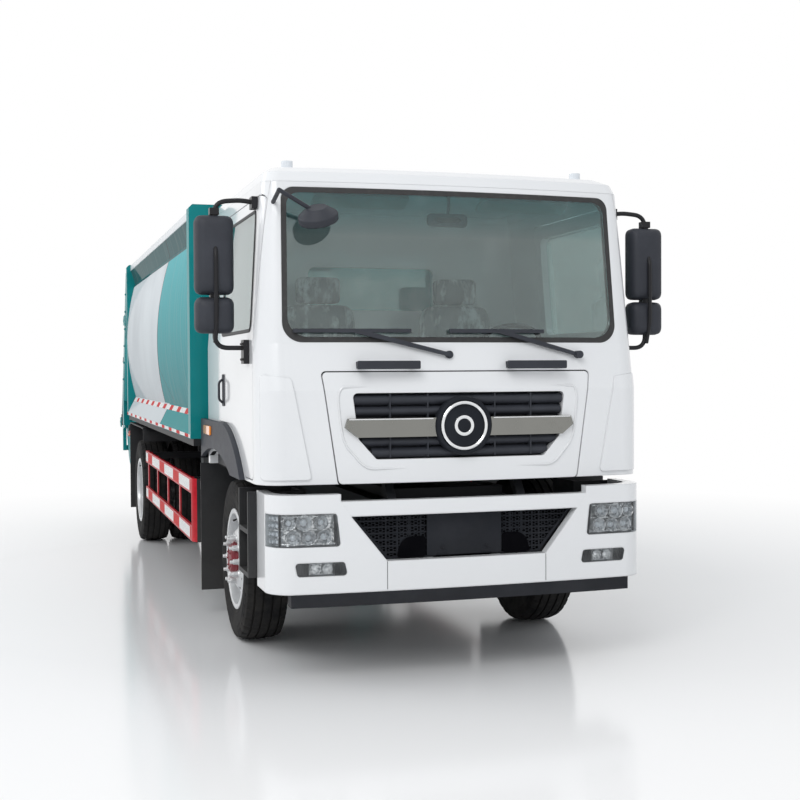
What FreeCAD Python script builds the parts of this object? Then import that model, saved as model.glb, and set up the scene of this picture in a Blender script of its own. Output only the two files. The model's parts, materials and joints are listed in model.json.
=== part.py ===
import FreeCAD, Part
import math
import os

import Sketcher

# Rear-loading refuse truck, millimetres. +Z is up, the front faces -Y and +X is the vehicle's left.
# The origin is on the ground in the middle of the truck's outline.

# Every size of the model. Names that end in _y are places behind the front axle, _z heights above
# the ground and _x distances from the truck's middle plane.
SIZES = {
    # Whole vehicle
    "nose_to_axle": 1415, "overall_length": 9000, "wheelbase": 5000,
    # Clearances and tool allowances
    "seat_gap": 0.3, "moving_gap": 8, "cut_overrun": 20, "nose_tool_depth": 300, "lamp_tool_depth": 190,
    "screen_tool_depth": 400, "side_tool_depth": 220,
    # Tyres and rims
    "tyre_radius": 510, "tyre_width": 275, "tyre_bead_radius": 300, "tyre_bead_width": 224,
    "tyre_shoulder": 12, "tyre_crown": 10, "rim_wall": 12, "rim_flange_height": 20, "rim_well_depth": 38,
    "rim_well_half": 40, "rim_well_slope": 22, "disc_wall": 14, "disc_hole_radius": 24,
    "disc_hole_circle": 205, "disc_flange_radius": 170, "wheel_bore": 110, "nut_circle": 140,
    "nut_radius": 15, "nut_length": 44, "spindle_radius": 38, "hub_gap": 6, "hub_round": 14, "hub_flange": 18,
    # Front wheels and steering
    "front_track_x": 952, "front_disc_offset": 70, "front_hub_radius": 84, "front_hub_reach": 80,
    "front_drum_radius": 190, "kingpin_x": 790, "kingpin_eye": 40, "kingpin_radius": 24, "knuckle_width": 70,
    "knuckle_wall": 34, "knuckle_web": 25, "steer_arm_length": 190, "steer_arm_wall": 20,
    # Rear wheels
    "dual_centre_x": 932, "dual_spread": 157, "rear_drum_in_x": 650, "rear_drum_radius": 160,
    "rear_hub_reach": 90, "rear_stub_reach": 40, "rear_tube_radius": 66, "differential_radius": 205,
    "differential_nose": 330, "shaft_radius": 46,
    # Front beam and springs
    "beam_depth": 92, "beam_height": 88, "beam_drop": 120, "beam_low_x": 430, "beam_end_x": 690,
    "spring_width": 78, "spring_wall": 54, "spring_reach": 760, "spring_rise": 150, "rear_spring_rise": 50,
    "hanger_length": 90,
    # Frame
    "rail_x": 390, "rail_flange": 76, "rail_web": 9, "rail_low_z": 690, "rail_high_z": 960,
    "rail_front_y": -1180, "rail_rear_y": 6000, "crossmember_radius": 58, "crossmember_lift": 60,
    "bumper_beam_depth": 80, "bumper_beam_high_z": 830,
    # Engine and what hangs beside the frame
    "engine_half_width": 310, "engine_low_z": 480, "engine_high_z": 1010, "engine_front_y": -820,
    "engine_rear_y": 560, "radiator_front_y": -1090, "radiator_half_width": 330, "radiator_low_z": 560,
    "radiator_high_z": 1030, "engine_mount_length": 80, "tank_radius": 125, "tank_length": 900, "tank_round": 40,
    "tank_x": 690, "tank_front_y": 1900, "tank_low_z": 620, "tank_high_z": 880,
    "box_length": 620, "box_front_y": 1200, "box_outer_x": 960, "box_low_z": 560, "box_high_z": 1000, "fuel_length": 1150, "fuel_front_y": 1300,
    "fuel_inner_x": 480, "fuel_outer_x": 1010, "fuel_low_z": 430, "fuel_high_z": 930, "fuel_round": 110,
    "fuel_cap_radius": 60, "silencer_radius": 190, "silencer_length": 760, "silencer_front_y": 2760,
    "silencer_x": 740, "silencer_z": 650, "bracket_wall": 30,
    # Side guards, flaps, fenders and tail bar
    "guard_out_x": 1220, "guard_wall": 20, "guard_low_z": 500, "guard_high_z": 950, "guard_rail_height": 110,
    "guard_post": 60, "guard_front_y": 1000, "guard_rear_y": 4300, "guard_round": 110, "guard_return": 350,
    "guard_arm_z": 890, "flap_front_y": 752, "flap_wall": 12, "flap_low_z": 190, "flap_high_z": 1075,
    "flap_in_x": 880, "flap_out_x": 1185, "fender_front_y": 4400, "fender_rear_y": 5900,
    "fender_front_z": 1030, "fender_rear_z": 240, "fender_top_z": 1165, "fender_wall": 12,
    "fender_round": 60, "fender_in_x": 640, "fender_out_x": 1235, "fender_arm_z": 1090,
    "underrun_half_width": 1100, "underrun_depth": 90, "underrun_low_z": 450, "underrun_height": 110,
    "tail_lamp_length": 260, "tail_lamp_depth": 40,
    # Bumper and its lamps
    "bumper_face_y": -1415, "bumper_bow": 35, "bumper_half_width": 1115, "bumper_low_z": 502,
    "bumper_high_z": 1040, "bumper_wall": 60, "bumper_round": 150, "bumper_side_rear_y": -1000,
    "centre_bar_high_z": 1000, "centre_bar_low_z": 916, "low_bar_high_z": 667, "grille_top_x": 725,
    "grille_mid_x": 669, "grille_low_x": 469, "skirt_low_z": 430, "skirt_x": 1000, "skirt_stay_x": 600,
    "headlamp_in_x": 728, "headlamp_out_x": 1125, "headlamp_low_z": 757, "headlamp_high_z": 936,
    "headlamp_slope": 20, "fog_in_x": 691, "fog_out_x": 965, "fog_low_z": 598, "fog_high_z": 672,
    "fog_slope": 15, "lamp_round": 18, "tow_pocket_in_x": 228, "tow_pocket_out_x": 375,
    "tow_pocket_low_z": 690, "tow_pocket_high_z": 785, "plate_half_width": 210, "plate_low_z": 700,
    "plate_high_z": 850, "slat_wall": 12, "slat_line": 8, "grille_setback": 18, "bar_stay_x": 200,
    "stay_depth": 20, "stay_lap": 30,
    # Steps beside the front wheels
    "step_rear_y": -690, "step_out_x": 1165, "step_in_x": 830, "step_wall": 26, "step_low_z": 545,
    "step_mid_z": 790, "step_high_z": 1030,
    # Cab shell
    "cab_half_width": 1150, "cab_low_z": 1085, "cab_bend_z": 1600, "cab_rear_y": 600, "cab_front_y": -1325,
    "cab_wall": 55, "cab_floor_wall": 60, "cab_bow": 55, "cab_lean": 65, "corner_width": 150,
    "corner_top_width": 95, "cowl_high_z": 1860, "screen_foot_y": -1272, "screen_head_y": -1170,
    "roof_low_z": 2760, "roof_edge_rise": 60, "roof_crown_rise": 35, "roof_step": 18,
    # Cab openings and glass
    "glass_wall": 8, "seal_wall": 36, "screen_low_z": 1895, "screen_high_z": 2700, "screen_low_x": 976,
    "screen_high_x": 959, "screen_round": 110, "screen_seal": 30, "door_front_y": -1100, "door_rear_y": 90,
    "door_low_z": 1100, "door_high_z": 2690, "door_gap": 6, "door_round": 40, "door_window_sill_z": 1945,
    "door_window_top_z": 2600, "door_window_border": 90, "window_round": 50, "window_slant": 60,
    "rear_window_half_width": 460, "rear_window_low_z": 2130, "rear_window_high_z": 2430,
    "arch_front_y": -480, "arch_crown_y": 120, "arch_top_z": 1205, "arch_rear_z": 1120,
    # Front lid and its grille
    "hood_low_z": 1079, "hood_high_z": 1706, "hood_low_x": 717, "hood_high_x": 806, "lid_round": 25, "lid_wall": 25,
    "grille_foot_x": 500, "grille_foot_z": 1217, "grille_knee_x": 600, "grille_knee_z": 1330,
    "grille_head_x": 633, "grille_head_z": 1584, "grille_bar_height": 32, "bar_low_x": 610, "bar_low_z": 1340,
    "bar_tip_x": 680, "bar_tip_z": 1395, "bar_high_x": 665, "bar_high_z": 1445, "bar_proud": 25,
    "corner_pad_rise": 12, "corner_pad_low_z": 1112, "corner_pad_high_z": 1690, "corner_pad_low_x": 862,
    "corner_pad_high_x": 968, "corner_pad_out_x": 1130, "corner_pad_round": 20,
    "emblem_radius": 168, "emblem_proud": 32, "emblem_z": 1398,
    # Dark trim on the cab
    "arch_lip_wall": 32, "arch_flat_z": 1385, "flare_front_y": -830, "flare_shoulder_y": -200,
    "flare_curve_y": 360, "flare_curve_z": 1280, "flare_rear_y": 740, "wiper_pivot_z": 1785,
    "wiper_right_x": -67, "blade_right_start_x": -949, "blade_right_end_x": -288, "wiper_left_x": 734,
    "blade_left_start_x": -61, "blade_left_end_x": 517, "blade_z": 1930, "blade_width": 22, "blade_lift": 8,
    "wiper_post_length": 60, "handle_x": 440, "handle_half_length": 180, "handle_low_z": 1716,
    "handle_high_z": 1762, "handle_reach": 45, "handle_wall": 16, "handle_round": 8, "handle_foot": 30,
    "roof_lamp_x": 900, "roof_lamp_y": -870, "roof_lamp_radius": 34, "roof_lamp_height": 55,
    # Mirrors and door handles
    "mirror_reach": 185, "mirror_y": -955, "mirror_tube_radius": 14, "mirror_low_z": 1840, "mirror_high_z": 2655,
    "mirror_top_inset": 56.2, "mirror_half_width": 105, "mirror_depth": 110, "mirror_round": 45,
    "kerb_mirror_x": 812, "kerb_mirror_y": -1285, "kerb_mirror_z": 2520, "kerb_mirror_radius": 110,
    "kerb_mirror_depth": 85, "kerb_tube_radius": 12, "kerb_foot_x": 1030, "kerb_foot_z": 2640,
    "kerb_elbow_x": 1040, "kerb_elbow_z": 2680, "kerb_elbow_reach": 160,
    "main_mirror_low_z": 2140, "main_mirror_high_z": 2575, "wide_mirror_low_z": 1924,
    "wide_mirror_high_z": 2120, "mirror_foot": 90, "mirror_foot_wall": 30, "grip_y": -110, "grip_width": 60,
    "grip_low_z": 1490, "grip_high_z": 1690,
    # Inside the cab
    "dash_front_y": -1145, "dash_rear_y": -900, "dash_wall": 30, "dash_half_width": 1000, "dash_low_z": 1450,
    "dash_high_z": 1800, "steer_rim_radius": 225, "steer_rim_wall": 16, "steer_boss_radius": 45,
    "steer_boss_length": 60, "column_length": 330, "steer_y": -760, "steer_z": 1830, "seat_x": 480,
    "seat_half_width": 250, "seat_front_y": -420, "seat_rear_y": 110, "seat_low_z": 1450, "seat_wall": 120,
    "seat_back_wall": 130, "seat_head_z": 2330, "seat_round": 45,
    # Cab mounts
    "tilt_y": -1300, "tilt_z": 880, "tilt_eye": 22, "tilt_pin_radius": 16, "tilt_arm_x": 390,
    "tilt_arm_wall": 50, "tilt_arm_back": 160, "tilt_arm_depth": 80, "rest_y": 430, "rest_length": 90,
    # Load space
    "body_front_y": 770, "body_rear_y": 6020, "body_half_width": 1250, "body_low_z": 1241, "body_wall": 60,
    "front_frame_depth": 120, "front_wall": 30, "rear_frame_depth": 90, "post_width": 170,
    "rear_post_width": 110, "frame_high_z": 2866, "frame_chamfer": 25, "floor_inset": 20, "floor_wall": 50,
    "member_inset": 60, "bearer_half_width": 600, "bearer_height": 90, "bearer_width": 80,
    "side_low_z": 1440, "side_high_z": 2650, "side_edge_x": 1165, "sill_lip": 30, "roof_edge_x": 1080,
    "rail_top_z": 2770, "roof_crown_z": 2865,
    # Tail and its hinge
    "hinge_x": 640, "hinge_y": 6024, "hinge_z": 2930, "hinge_eye": 36, "hinge_ear_wall": 36,
    "hinge_pin_radius": 20, "tail_gap": 8, "tail_out_x": 1140, "tail_wall": 70, "tail_front_low_z": 1170,
    "tail_top_z": 2850, "tail_top_y": 6250, "tail_knee_y": 6840, "tail_knee_z": 1400, "tail_margin": 40,
    "hopper_lip_y": 7450, "hopper_lip_z": 1020, "trough_y": 6750, "trough_z": 640, "trough_wall": 30,
    "trough_front_z": 1200, "cover_foot_y": 6570, "cover_foot_z": 2050, "cover_wall": 30,
    "slot_low_y": 6333, "slot_low_z": 2090, "slot_high_y": 6198, "slot_high_z": 2430, "slot_width": 60,
    # Packer
    "blade_y": 6550, "blade_pivot_z": 1620, "blade_root": 60, "blade_length": 720, "blade_hook": 120,
    "blade_wall": 40, "blade_eye": 60, "blade_clear": 68, "blade_pin_radius": 25, "knuckle_half": 50,
    "panel_wall": 100, "panel_length": 700, "packer_x": 1190, "barrel_radius": 42, "barrel_bore": 22.3,
    "barrel_foot": 250, "packer_barrel_length": 750, "packer_rod_radius": 22, "packer_pin_up": 560,
    "rod_hidden": 100,
    # Lifting cylinders
    "lift_x": 1195, "lift_foot_y": 6105, "lift_foot_z": 1500, "lift_foot_width": 50, "lift_eye": 36,
    "lift_pin_radius": 16, "lift_barrel_radius": 38, "lift_rod_radius": 20, "lift_barrel_length": 1000,
    "lift_head_y": 6110, "lift_head_z": 2820,
    # Bin lifter
    "lifter_y": 7300, "lifter_z": 1060, "lifter_back_y": 7585, "lifter_eye": 45, "lifter_wall": 40,
    "lifter_pin_radius": 20, "comb_low_z": 760, "comb_high_z": 1060, "comb_depth": 60,
    "comb_half_width": 640,
}

document = FreeCAD.newDocument("refuse_truck")
sheet = document.addObject("Spreadsheet::Sheet", "Sizes")
for row, (alias, value) in enumerate(SIZES.items(), start=1):
    sheet.set("A%d" % row, alias)
    sheet.set("B%d" % row, str(value))
    sheet.setAlias("B%d" % row, alias)
document.recompute()


class Size:
    """A length together with the sheet expression that it comes from."""

    def __init__(self, value, text):
        self.value = float(value)
        self.text = text

    def __float__(self):
        return self.value

    def __add__(self, other):
        return joined(self, "+", other)

    def __radd__(self, other):
        return joined(other, "+", self)

    def __sub__(self, other):
        return joined(self, "-", other)

    def __rsub__(self, other):
        return joined(other, "-", self)

    def __mul__(self, other):
        return joined(self, "*", other)

    def __rmul__(self, other):
        return joined(other, "*", self)

    def __truediv__(self, other):
        return joined(self, "/", other)

    def __neg__(self):
        return joined(0, "-", self)


def as_size(value):
    if isinstance(value, Size):
        return value
    return Size(value, repr(float(value)))


def joined(first, sign, second):
    first, second = as_size(first), as_size(second)
    results = {"+": first.value + second.value, "-": first.value - second.value, "*": first.value * second.value}
    value = first.value / second.value if sign == "/" else results[sign]
    return Size(value, "(%s %s %s)" % (first.text, sign, second.text))


def hypotenuse(run, rise):
    run, rise = as_size(run), as_size(rise)
    return Size(math.hypot(run.value, rise.value), "sqrt(%s ^ 2 + %s ^ 2)" % (run.text, rise.text))


class Sheet:
    """Named sizes read from the sheet as attributes."""

    def __getattr__(self, alias):
        return Size(getattr(sheet, alias), "Sizes." + alias)


S = Sheet()
NODES = []
LEFT = 1
RIGHT = -1
SIDES = ((LEFT, "left"), (RIGHT, "right"))


def vector(point):
    return FreeCAD.Vector(*(float(value) for value in point))


def moved(item, place, turn=None):
    """Bind an object's place, with an optional (axis, angle) turn."""
    if turn:
        item.Placement = FreeCAD.Placement(vector(place), FreeCAD.Rotation(FreeCAD.Vector(*turn[0]), turn[1]))
    for letter, value in zip("xyz", place):
        item.setExpression("Placement.Base." + letter, as_size(value).text)
    return item


def bind(item, **sizes):
    for name, value in sizes.items():
        item.setExpression(name, as_size(value).text)
    return item


def node(name, item):
    """Name an object as a sub-part of its own."""
    item.Label = name
    NODES.append(item)
    return item


def box(low, high):
    """A box between two corners."""
    item = document.addObject("Part::Box", "box")
    bind(item, Length=high[0] - low[0], Width=high[1] - low[1], Height=high[2] - low[2])
    return moved(item, low)


TURNS = {"x": ((0, 1, 0), 90), "y": ((1, 0, 0), -90), "z": None}


def rod(axis, start, radius, length):
    """A round bar from a start point along an axis letter."""
    item = document.addObject("Part::Cylinder", "rod")
    bind(item, Radius=radius, Height=length)
    return moved(item, start, TURNS[axis])


def fused(*items):
    item = document.addObject("Part::MultiFuse", "fused")
    item.Shapes = list(items)
    item.Refine = True
    return item


def cut(base, *tools):
    item = document.addObject("Part::Cut", "cut")
    item.Base = base
    item.Tool = tools[0] if len(tools) == 1 else fused(*tools)
    return item


def group(*items):
    item = document.addObject("Part::Compound", "group")
    item.Links = list(items)
    return item


def mirrored(source):
    """The same shape on the other side of the truck's middle plane."""
    item = document.addObject("Part::Mirroring", "mirrored")
    item.Source = source
    item.Normal = FreeCAD.Vector(1, 0, 0)
    return item


def both(item):
    return group(item, mirrored(item))


class Via:
    """A point that the arc between its two neighbours in an outline passes through."""

    def __init__(self, across, up):
        self.place = (as_size(across), as_size(up))


def corner_cut(before, corner, after, radius):
    """Start, middle, end of the round at a corner."""
    first = (before - corner).normalize()
    last = (after - corner).normalize()
    half = first.getAngle(last) / 2
    reach = radius / math.tan(half)
    centre = corner + (first + last).normalize() * (radius / math.sin(half))
    middle = centre + (corner - centre).normalize() * radius
    return corner + first * reach, middle, corner + last * reach


def arc_through(start, middle, end):
    """An arc that always runs anticlockwise, whichever way its three points lie."""
    if (middle - start).cross(end - middle).z < 0:
        start, end = end, start
    return Part.Arc(start, middle, end)


def draw(body, plane, outlines, offset):
    """A sketch with each corner bound to the sheet: on one of a body's planes, or level by itself.

    An outline is a list of (across, up) corners, (across, up, radius) rounded corners and Via points.
    """
    if body:
        sketch = body.newObject("Sketcher::SketchObject", "outline")
        origin_plane = [item for item in body.Origin.OriginFeatures if item.Role == plane + "_Plane"][0]
        sketch.AttachmentSupport = [(origin_plane, "")]
        sketch.MapMode = "FlatFace"
        sketch.setExpression("AttachmentOffset.Base.z", as_size(offset).text)
    else:
        sketch = document.addObject("Sketcher::SketchObject", "outline")
        moved(sketch, (0, 0, offset))
    geometry, constraints, bindings = [], [], []

    def pinned(index, end, place):
        for kind, value in zip(("DistanceX", "DistanceY"), place):
            bindings.append((len(constraints), value.text))
            constraints.append(Sketcher.Constraint(kind, -1, 1, index, end, value.value))

    for outline in outlines:
        corners = [entry for entry in outline if not isinstance(entry, Via)]
        vias = {}
        for entry in outline:
            if isinstance(entry, Via):
                vias[count - 1] = entry
            else:
                count = outline_index(corners, entry) + 1
        places = [tuple(as_size(value) for value in entry[:2]) for entry in corners]
        points = [FreeCAD.Vector(place[0].value, place[1].value, 0) for place in places]
        total = len(points)
        rounds = {}
        for i, entry in enumerate(corners):
            if len(entry) > 2:
                radius = as_size(entry[2])
                rounds[i] = (radius, corner_cut(points[i - 1], points[i], points[(i + 1) % total], radius.value))
        edges = []
        for i in range(total):
            start = rounds[i][1][2] if i in rounds else points[i]
            after = (i + 1) % total
            end = rounds[after][1][0] if after in rounds else points[after]
            edges.append(len(geometry))
            if i in vias:
                middle = FreeCAD.Vector(vias[i].place[0].value, vias[i].place[1].value, 0)
                geometry.append(arc_through(start, middle, end))
            else:
                geometry.append(Part.LineSegment(start, end))
        for i in range(total):
            before, after = edges[i - 1], edges[i]
            before_end = arc_end(geometry[before], points[i] if i not in rounds else rounds[i][1][0])
            after_end = arc_end(geometry[after], points[i] if i not in rounds else rounds[i][1][2])
            if i in rounds:
                radius, (start, middle, end) = rounds[i]
                index = len(geometry)
                arc = arc_through(start, middle, end)
                geometry.append(arc)
                marker = len(geometry)
                geometry.append(Part.Point(points[i]))
                constraints.append(Sketcher.Constraint("Tangent", before, before_end, index, arc_end(arc, start)))
                constraints.append(Sketcher.Constraint("Tangent", after, after_end, index, arc_end(arc, end)))
                constraints.append(Sketcher.Constraint("PointOnObject", marker, 1, before))
                constraints.append(Sketcher.Constraint("PointOnObject", marker, 1, after))
                bindings.append((len(constraints), radius.text))
                constraints.append(Sketcher.Constraint("Radius", index, radius.value))
                pinned(marker, 1, places[i])
            else:
                constraints.append(Sketcher.Constraint("Coincident", before, before_end, after, after_end))
                pinned(after, after_end, places[i])
        for i, via in vias.items():
            marker = len(geometry)
            geometry.append(Part.Point(FreeCAD.Vector(via.place[0].value, via.place[1].value, 0)))
            constraints.append(Sketcher.Constraint("PointOnObject", marker, 1, edges[i]))
            pinned(marker, 1, via.place)
    sketch.addGeometry(geometry, False)
    for index, item in enumerate(geometry):
        if isinstance(item, Part.Point):
            sketch.setConstruction(index, True)
    sketch.addConstraint(constraints)
    for index, text in bindings:
        sketch.setExpression("Constraints[%d]" % index, text)
    return sketch


def outline_index(corners, entry):
    return [index for index, corner in enumerate(corners) if corner is entry][0]


def arc_end(curve, point):
    """1 for the start of a curve, 2 for its end, whichever lies at the point."""
    return 1 if curve.StartPoint.distanceToPoint(point) < curve.EndPoint.distanceToPoint(point) else 2


def plate(plane, outlines, start, thickness):
    """A flat piece: outlines padded from a plane across its normal.

    Plane XY starts at a height, YZ at a distance to the left and XZ at a place along the truck;
    the piece then grows up, left or backwards. A first outline may hold others as holes.
    """
    body = document.addObject("PartDesign::Body", "plate")
    body.AllowCompound = True
    far = -(start + thickness) if plane == "XZ" else start
    sketch = draw(body, plane, outlines, far)
    pad = body.newObject("PartDesign::Pad", "pad")
    pad.Profile = sketch
    bind(pad, Length=thickness)
    return body


def turned(outlines, place=None):
    """A piece turned about the cross axis: outline points are (along the axis, radius)."""
    body = document.addObject("PartDesign::Body", "turned")
    body.AllowCompound = True
    sketch = draw(body, "XY", outlines, 0)
    revolution = body.newObject("PartDesign::Revolution", "revolution")
    revolution.Profile = sketch
    revolution.ReferenceAxis = (sketch, ["H_Axis"])
    revolution.Angle = 360
    if place:
        moved(body, place)
    return body


def placed(item, place, turn=None):
    """A copy holder that carries an object to another place."""
    holder = document.addObject("Part::Compound", "placed")
    holder.Links = [item]
    return moved(holder, place, turn)


def ring_of(item, count, axis=(1, 0, 0)):
    """Copies of an object turned evenly about an axis through the origin."""
    copies = []
    for index in range(count):
        copies.append(placed(item, (0, 0, 0), (axis, 360 * index / count)))
    return copies


def along(distance):
    """A place behind the front axle in the truck's own frame."""
    return S.nose_to_axle - S.overall_length / 2 + distance


REAR_AXLE = S.wheelbase
HUB_HEIGHT = S.tyre_radius


def tyre_outline(centre):
    """Section of a tyre: beads, bulging side walls and a crowned tread."""
    half = S.tyre_width / 2
    middle = (S.tyre_radius + S.tyre_bead_radius) / 2
    bead = S.tyre_bead_width / 2
    tread = half - S.tyre_shoulder
    top = S.tyre_radius - S.tyre_crown
    return [
        (centre - bead, S.tyre_bead_radius),
        (centre + bead, S.tyre_bead_radius),
        (centre + bead, S.tyre_bead_radius + S.rim_flange_height),
        Via(centre + half, middle),
        (centre + tread, top),
        Via(centre, S.tyre_radius),
        (centre - tread, top),
        Via(centre - half, middle),
        (centre - bead, S.tyre_bead_radius + S.rim_flange_height),
    ]


def rim_outline(centre):
    """Section of a drop-centre rim with a flange on each edge."""
    inner_flange = S.tyre_bead_width / 2 + S.seat_gap
    edge = inner_flange + S.rim_wall
    seat = S.tyre_bead_radius - S.seat_gap
    well = seat - S.rim_well_depth
    lip = seat + S.rim_flange_height
    slope = S.rim_well_half + S.rim_well_slope
    outline = [(-edge, lip), (-inner_flange, lip), (-inner_flange, seat), (-slope, seat), (-S.rim_well_half, well)]
    outline += [(S.rim_well_half, well), (slope, seat), (inner_flange, seat), (inner_flange, lip), (edge, lip)]
    outline += [(edge, seat - S.rim_wall), (slope, seat - S.rim_wall), (S.rim_well_half, well - S.rim_wall)]
    outline += [(-S.rim_well_half, well - S.rim_wall), (-slope, seat - S.rim_wall), (-edge, seat - S.rim_wall)]
    return [(centre + across, radius) for across, radius in outline]


def disc_outline(centre, face, outward):
    """Section of a wheel disc from the rim's well to the bolted flange, whose outer side is at face."""
    root = S.tyre_bead_radius - S.seat_gap - S.rim_well_depth - S.rim_wall / 2
    wall = S.disc_wall * outward
    return [
        (centre, root),
        (centre + wall, root),
        (face, S.disc_flange_radius),
        (face, S.wheel_bore),
        (face - wall, S.wheel_bore),
        (face - wall, S.disc_flange_radius),
    ]


def nuts(face, outward):
    """The ring of wheel nuts standing on a disc's outer face."""
    start = face if outward > 0 else face - S.nut_length
    sample = rod("x", (start, S.nut_circle, 0), S.nut_radius, S.nut_length)
    return ring_of(sample, NUT_COUNT)


def hand_holes(low):
    """Tools for the ring of holes in a wheel disc."""
    sample = rod("x", (low, S.disc_hole_circle, 0), S.disc_hole_radius, S.tyre_width)
    return ring_of(sample, DISC_HOLE_COUNT)


NUT_COUNT = 10
DISC_HOLE_COUNT = 10


def front_wheels():
    face = S.front_disc_offset
    flange_back = face - S.disc_wall
    hub_in = S.kingpin_x + S.kingpin_eye + S.knuckle_web + S.hub_gap - S.front_track_x
    tyre = turned([tyre_outline(0)])
    barrel = turned([rim_outline(0)])
    disc = cut(turned([disc_outline(0, face, 1)]), *hand_holes(-S.tyre_width / 2))
    hub = turned([[
        (hub_in, S.spindle_radius + S.seat_gap),
        (face, S.spindle_radius + S.seat_gap),
        (face, 0),
        (face + S.front_hub_reach, 0),
        (face + S.front_hub_reach, S.front_hub_radius, S.hub_round),
        (face + S.hub_round, S.wheel_bore - S.hub_gap),
        (flange_back, S.wheel_bore - S.hub_gap),
        (flange_back, S.disc_flange_radius),
        (flange_back - S.hub_flange, S.disc_flange_radius),
        (flange_back - S.hub_flange, S.front_drum_radius),
        (hub_in, S.front_drum_radius),
    ]])
    wheel = fused(barrel, disc, hub, *nuts(face, 1))
    for side, word in SIDES:
        turn = None if side == LEFT else ((0, 0, 1), 180)
        place = (S.front_track_x * side, along(0), HUB_HEIGHT)
        node("tyre_front_" + word, placed(tyre, place, turn))
        node("wheel_front_" + word, placed(wheel, place, turn))


def rear_wheels():
    spread = S.dual_spread
    face = S.disc_wall
    tyres = turned([tyre_outline(-spread), tyre_outline(spread)])
    outer_disc = turned([disc_outline(spread, face, 1)])
    inner_disc = turned([disc_outline(-spread, -face, -1)])
    discs = cut(fused(outer_disc, inner_disc), *hand_holes(-S.tyre_width / 2))
    hub_in = S.rear_drum_in_x - S.dual_centre_x
    hub = turned([[
        (hub_in, S.spindle_radius + S.seat_gap),
        (face + S.rear_hub_reach / 2, S.spindle_radius + S.seat_gap),
        (face + S.rear_hub_reach / 2, 0),
        (face + S.rear_hub_reach, 0),
        (face + S.rear_hub_reach, S.front_hub_radius, S.hub_round),
        (face, S.wheel_bore - S.hub_gap),
        (-face, S.wheel_bore - S.hub_gap),
        (-face, S.disc_flange_radius),
        (-face - S.hub_flange, S.disc_flange_radius),
        (-face - S.hub_flange, S.rear_drum_radius),
        (hub_in, S.rear_drum_radius),
    ]])
    barrels = [turned([rim_outline(spread * end)]) for end in (-1, 1)]
    wheels = fused(discs, hub, *barrels, *nuts(face, 1))
    for side, word in SIDES:
        turn = None if side == LEFT else ((0, 0, 1), 180)
        place = (S.dual_centre_x * side, along(REAR_AXLE), HUB_HEIGHT)
        node("tyres_rear_" + word, placed(tyres, place, turn))
        node("wheels_rear_" + word, placed(wheels, place, turn))


def knuckles():
    """Steering knuckles: a fork round the beam's eye, a spindle and a steering arm."""
    pin_x = S.kingpin_x
    eye = S.kingpin_eye
    half_eye = S.beam_height / 2
    low = HUB_HEIGHT - half_eye - S.seat_gap - S.knuckle_wall
    high = HUB_HEIGHT + half_eye + S.seat_gap
    half_width = S.knuckle_width / 2
    web_in = pin_x + eye + S.seat_gap
    parts = []
    for level in (low, high):
        parts.append(box(
            (pin_x - half_width, along(0) - half_width, level),
            (web_in + S.knuckle_web, along(0) + half_width, level + S.knuckle_wall),
        ))
    parts.append(box(
        (web_in, along(0) - half_width, low),
        (web_in + S.knuckle_web, along(0) + half_width, high + S.knuckle_wall),
    ))
    parts.append(rod("x", (web_in, along(0), HUB_HEIGHT), S.spindle_radius,
                     S.front_track_x + S.front_disc_offset - web_in - S.hub_gap))
    parts.append(rod("z", (pin_x, along(0), low), S.kingpin_radius, high + S.knuckle_wall - low))
    parts.append(box(
        (pin_x - half_width, along(0), low - S.steer_arm_wall),
        (pin_x + half_width, along(S.steer_arm_length), low),
    ))
    left = fused(*parts)
    node("knuckle_left", left)
    node("knuckle_right", mirrored(left))


def front_axle():
    """A dropped beam with an eye for each king pin."""
    half = S.beam_height / 2
    top = HUB_HEIGHT + half
    low_top = top - S.beam_drop
    outline = []
    for side in (LEFT, RIGHT):
        across = [(S.kingpin_x, -1), (S.kingpin_x, 1), (S.beam_end_x, 1), (S.beam_low_x, 0)]
        points = []
        for x, level in across:
            points.append((x * side, {-1: top - S.beam_height, 1: top, 0: low_top}[level]))
        outline += points if side == LEFT else points[::-1]
    under = [(-S.beam_end_x, top - S.beam_height), (-S.beam_low_x, low_top - S.beam_height)]
    under += [(S.beam_low_x, low_top - S.beam_height), (S.beam_end_x, top - S.beam_height)]
    beam = plate("XZ", [outline + under], along(-S.beam_depth / 2), S.beam_depth)
    eyes, bores = [], []
    for side in (LEFT, RIGHT):
        x = S.kingpin_x * side
        eyes.append(rod("z", (x, along(0), top - S.beam_height), S.kingpin_eye, S.beam_height))
        bores.append(rod("z", (x, along(0), top - S.beam_height - S.cut_overrun),
                         S.kingpin_radius + S.seat_gap, S.beam_height + S.cut_overrun * 2))
    node("front_axle", cut(fused(beam, *eyes), *bores))


def rear_axle():
    """A tube with the differential's bulge and a stub for each hub."""
    half = S.rear_drum_in_x - S.hub_gap
    inner = S.spindle_radius
    length = S.dual_centre_x + S.rear_stub_reach
    bulge = S.differential_radius
    casing = turned([[
        (-length, 0), (length, 0), (length, inner), (half, inner), (half, S.rear_tube_radius),
        (bulge * BULGE_FOOT_SHARE, S.rear_tube_radius), (bulge * BULGE_TOP_SHARE, bulge, bulge / 2),
        (-bulge * BULGE_TOP_SHARE, bulge, bulge / 2), (-bulge * BULGE_FOOT_SHARE, S.rear_tube_radius),
        (-half, S.rear_tube_radius), (-half, inner), (-length, inner),
    ]], (0, along(REAR_AXLE), HUB_HEIGHT))
    nose = rod("y", (0, along(REAR_AXLE - S.differential_nose), HUB_HEIGHT), S.rear_tube_radius, S.differential_nose)
    start = along(S.engine_rear_y) + S.seat_gap
    shaft = rod("y", (0, start, HUB_HEIGHT), S.shaft_radius, along(REAR_AXLE) - start)
    node("rear_axle", fused(casing, nose, shaft))


BULGE_FOOT_SHARE = 1.45
BULGE_TOP_SHARE = 0.6


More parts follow.
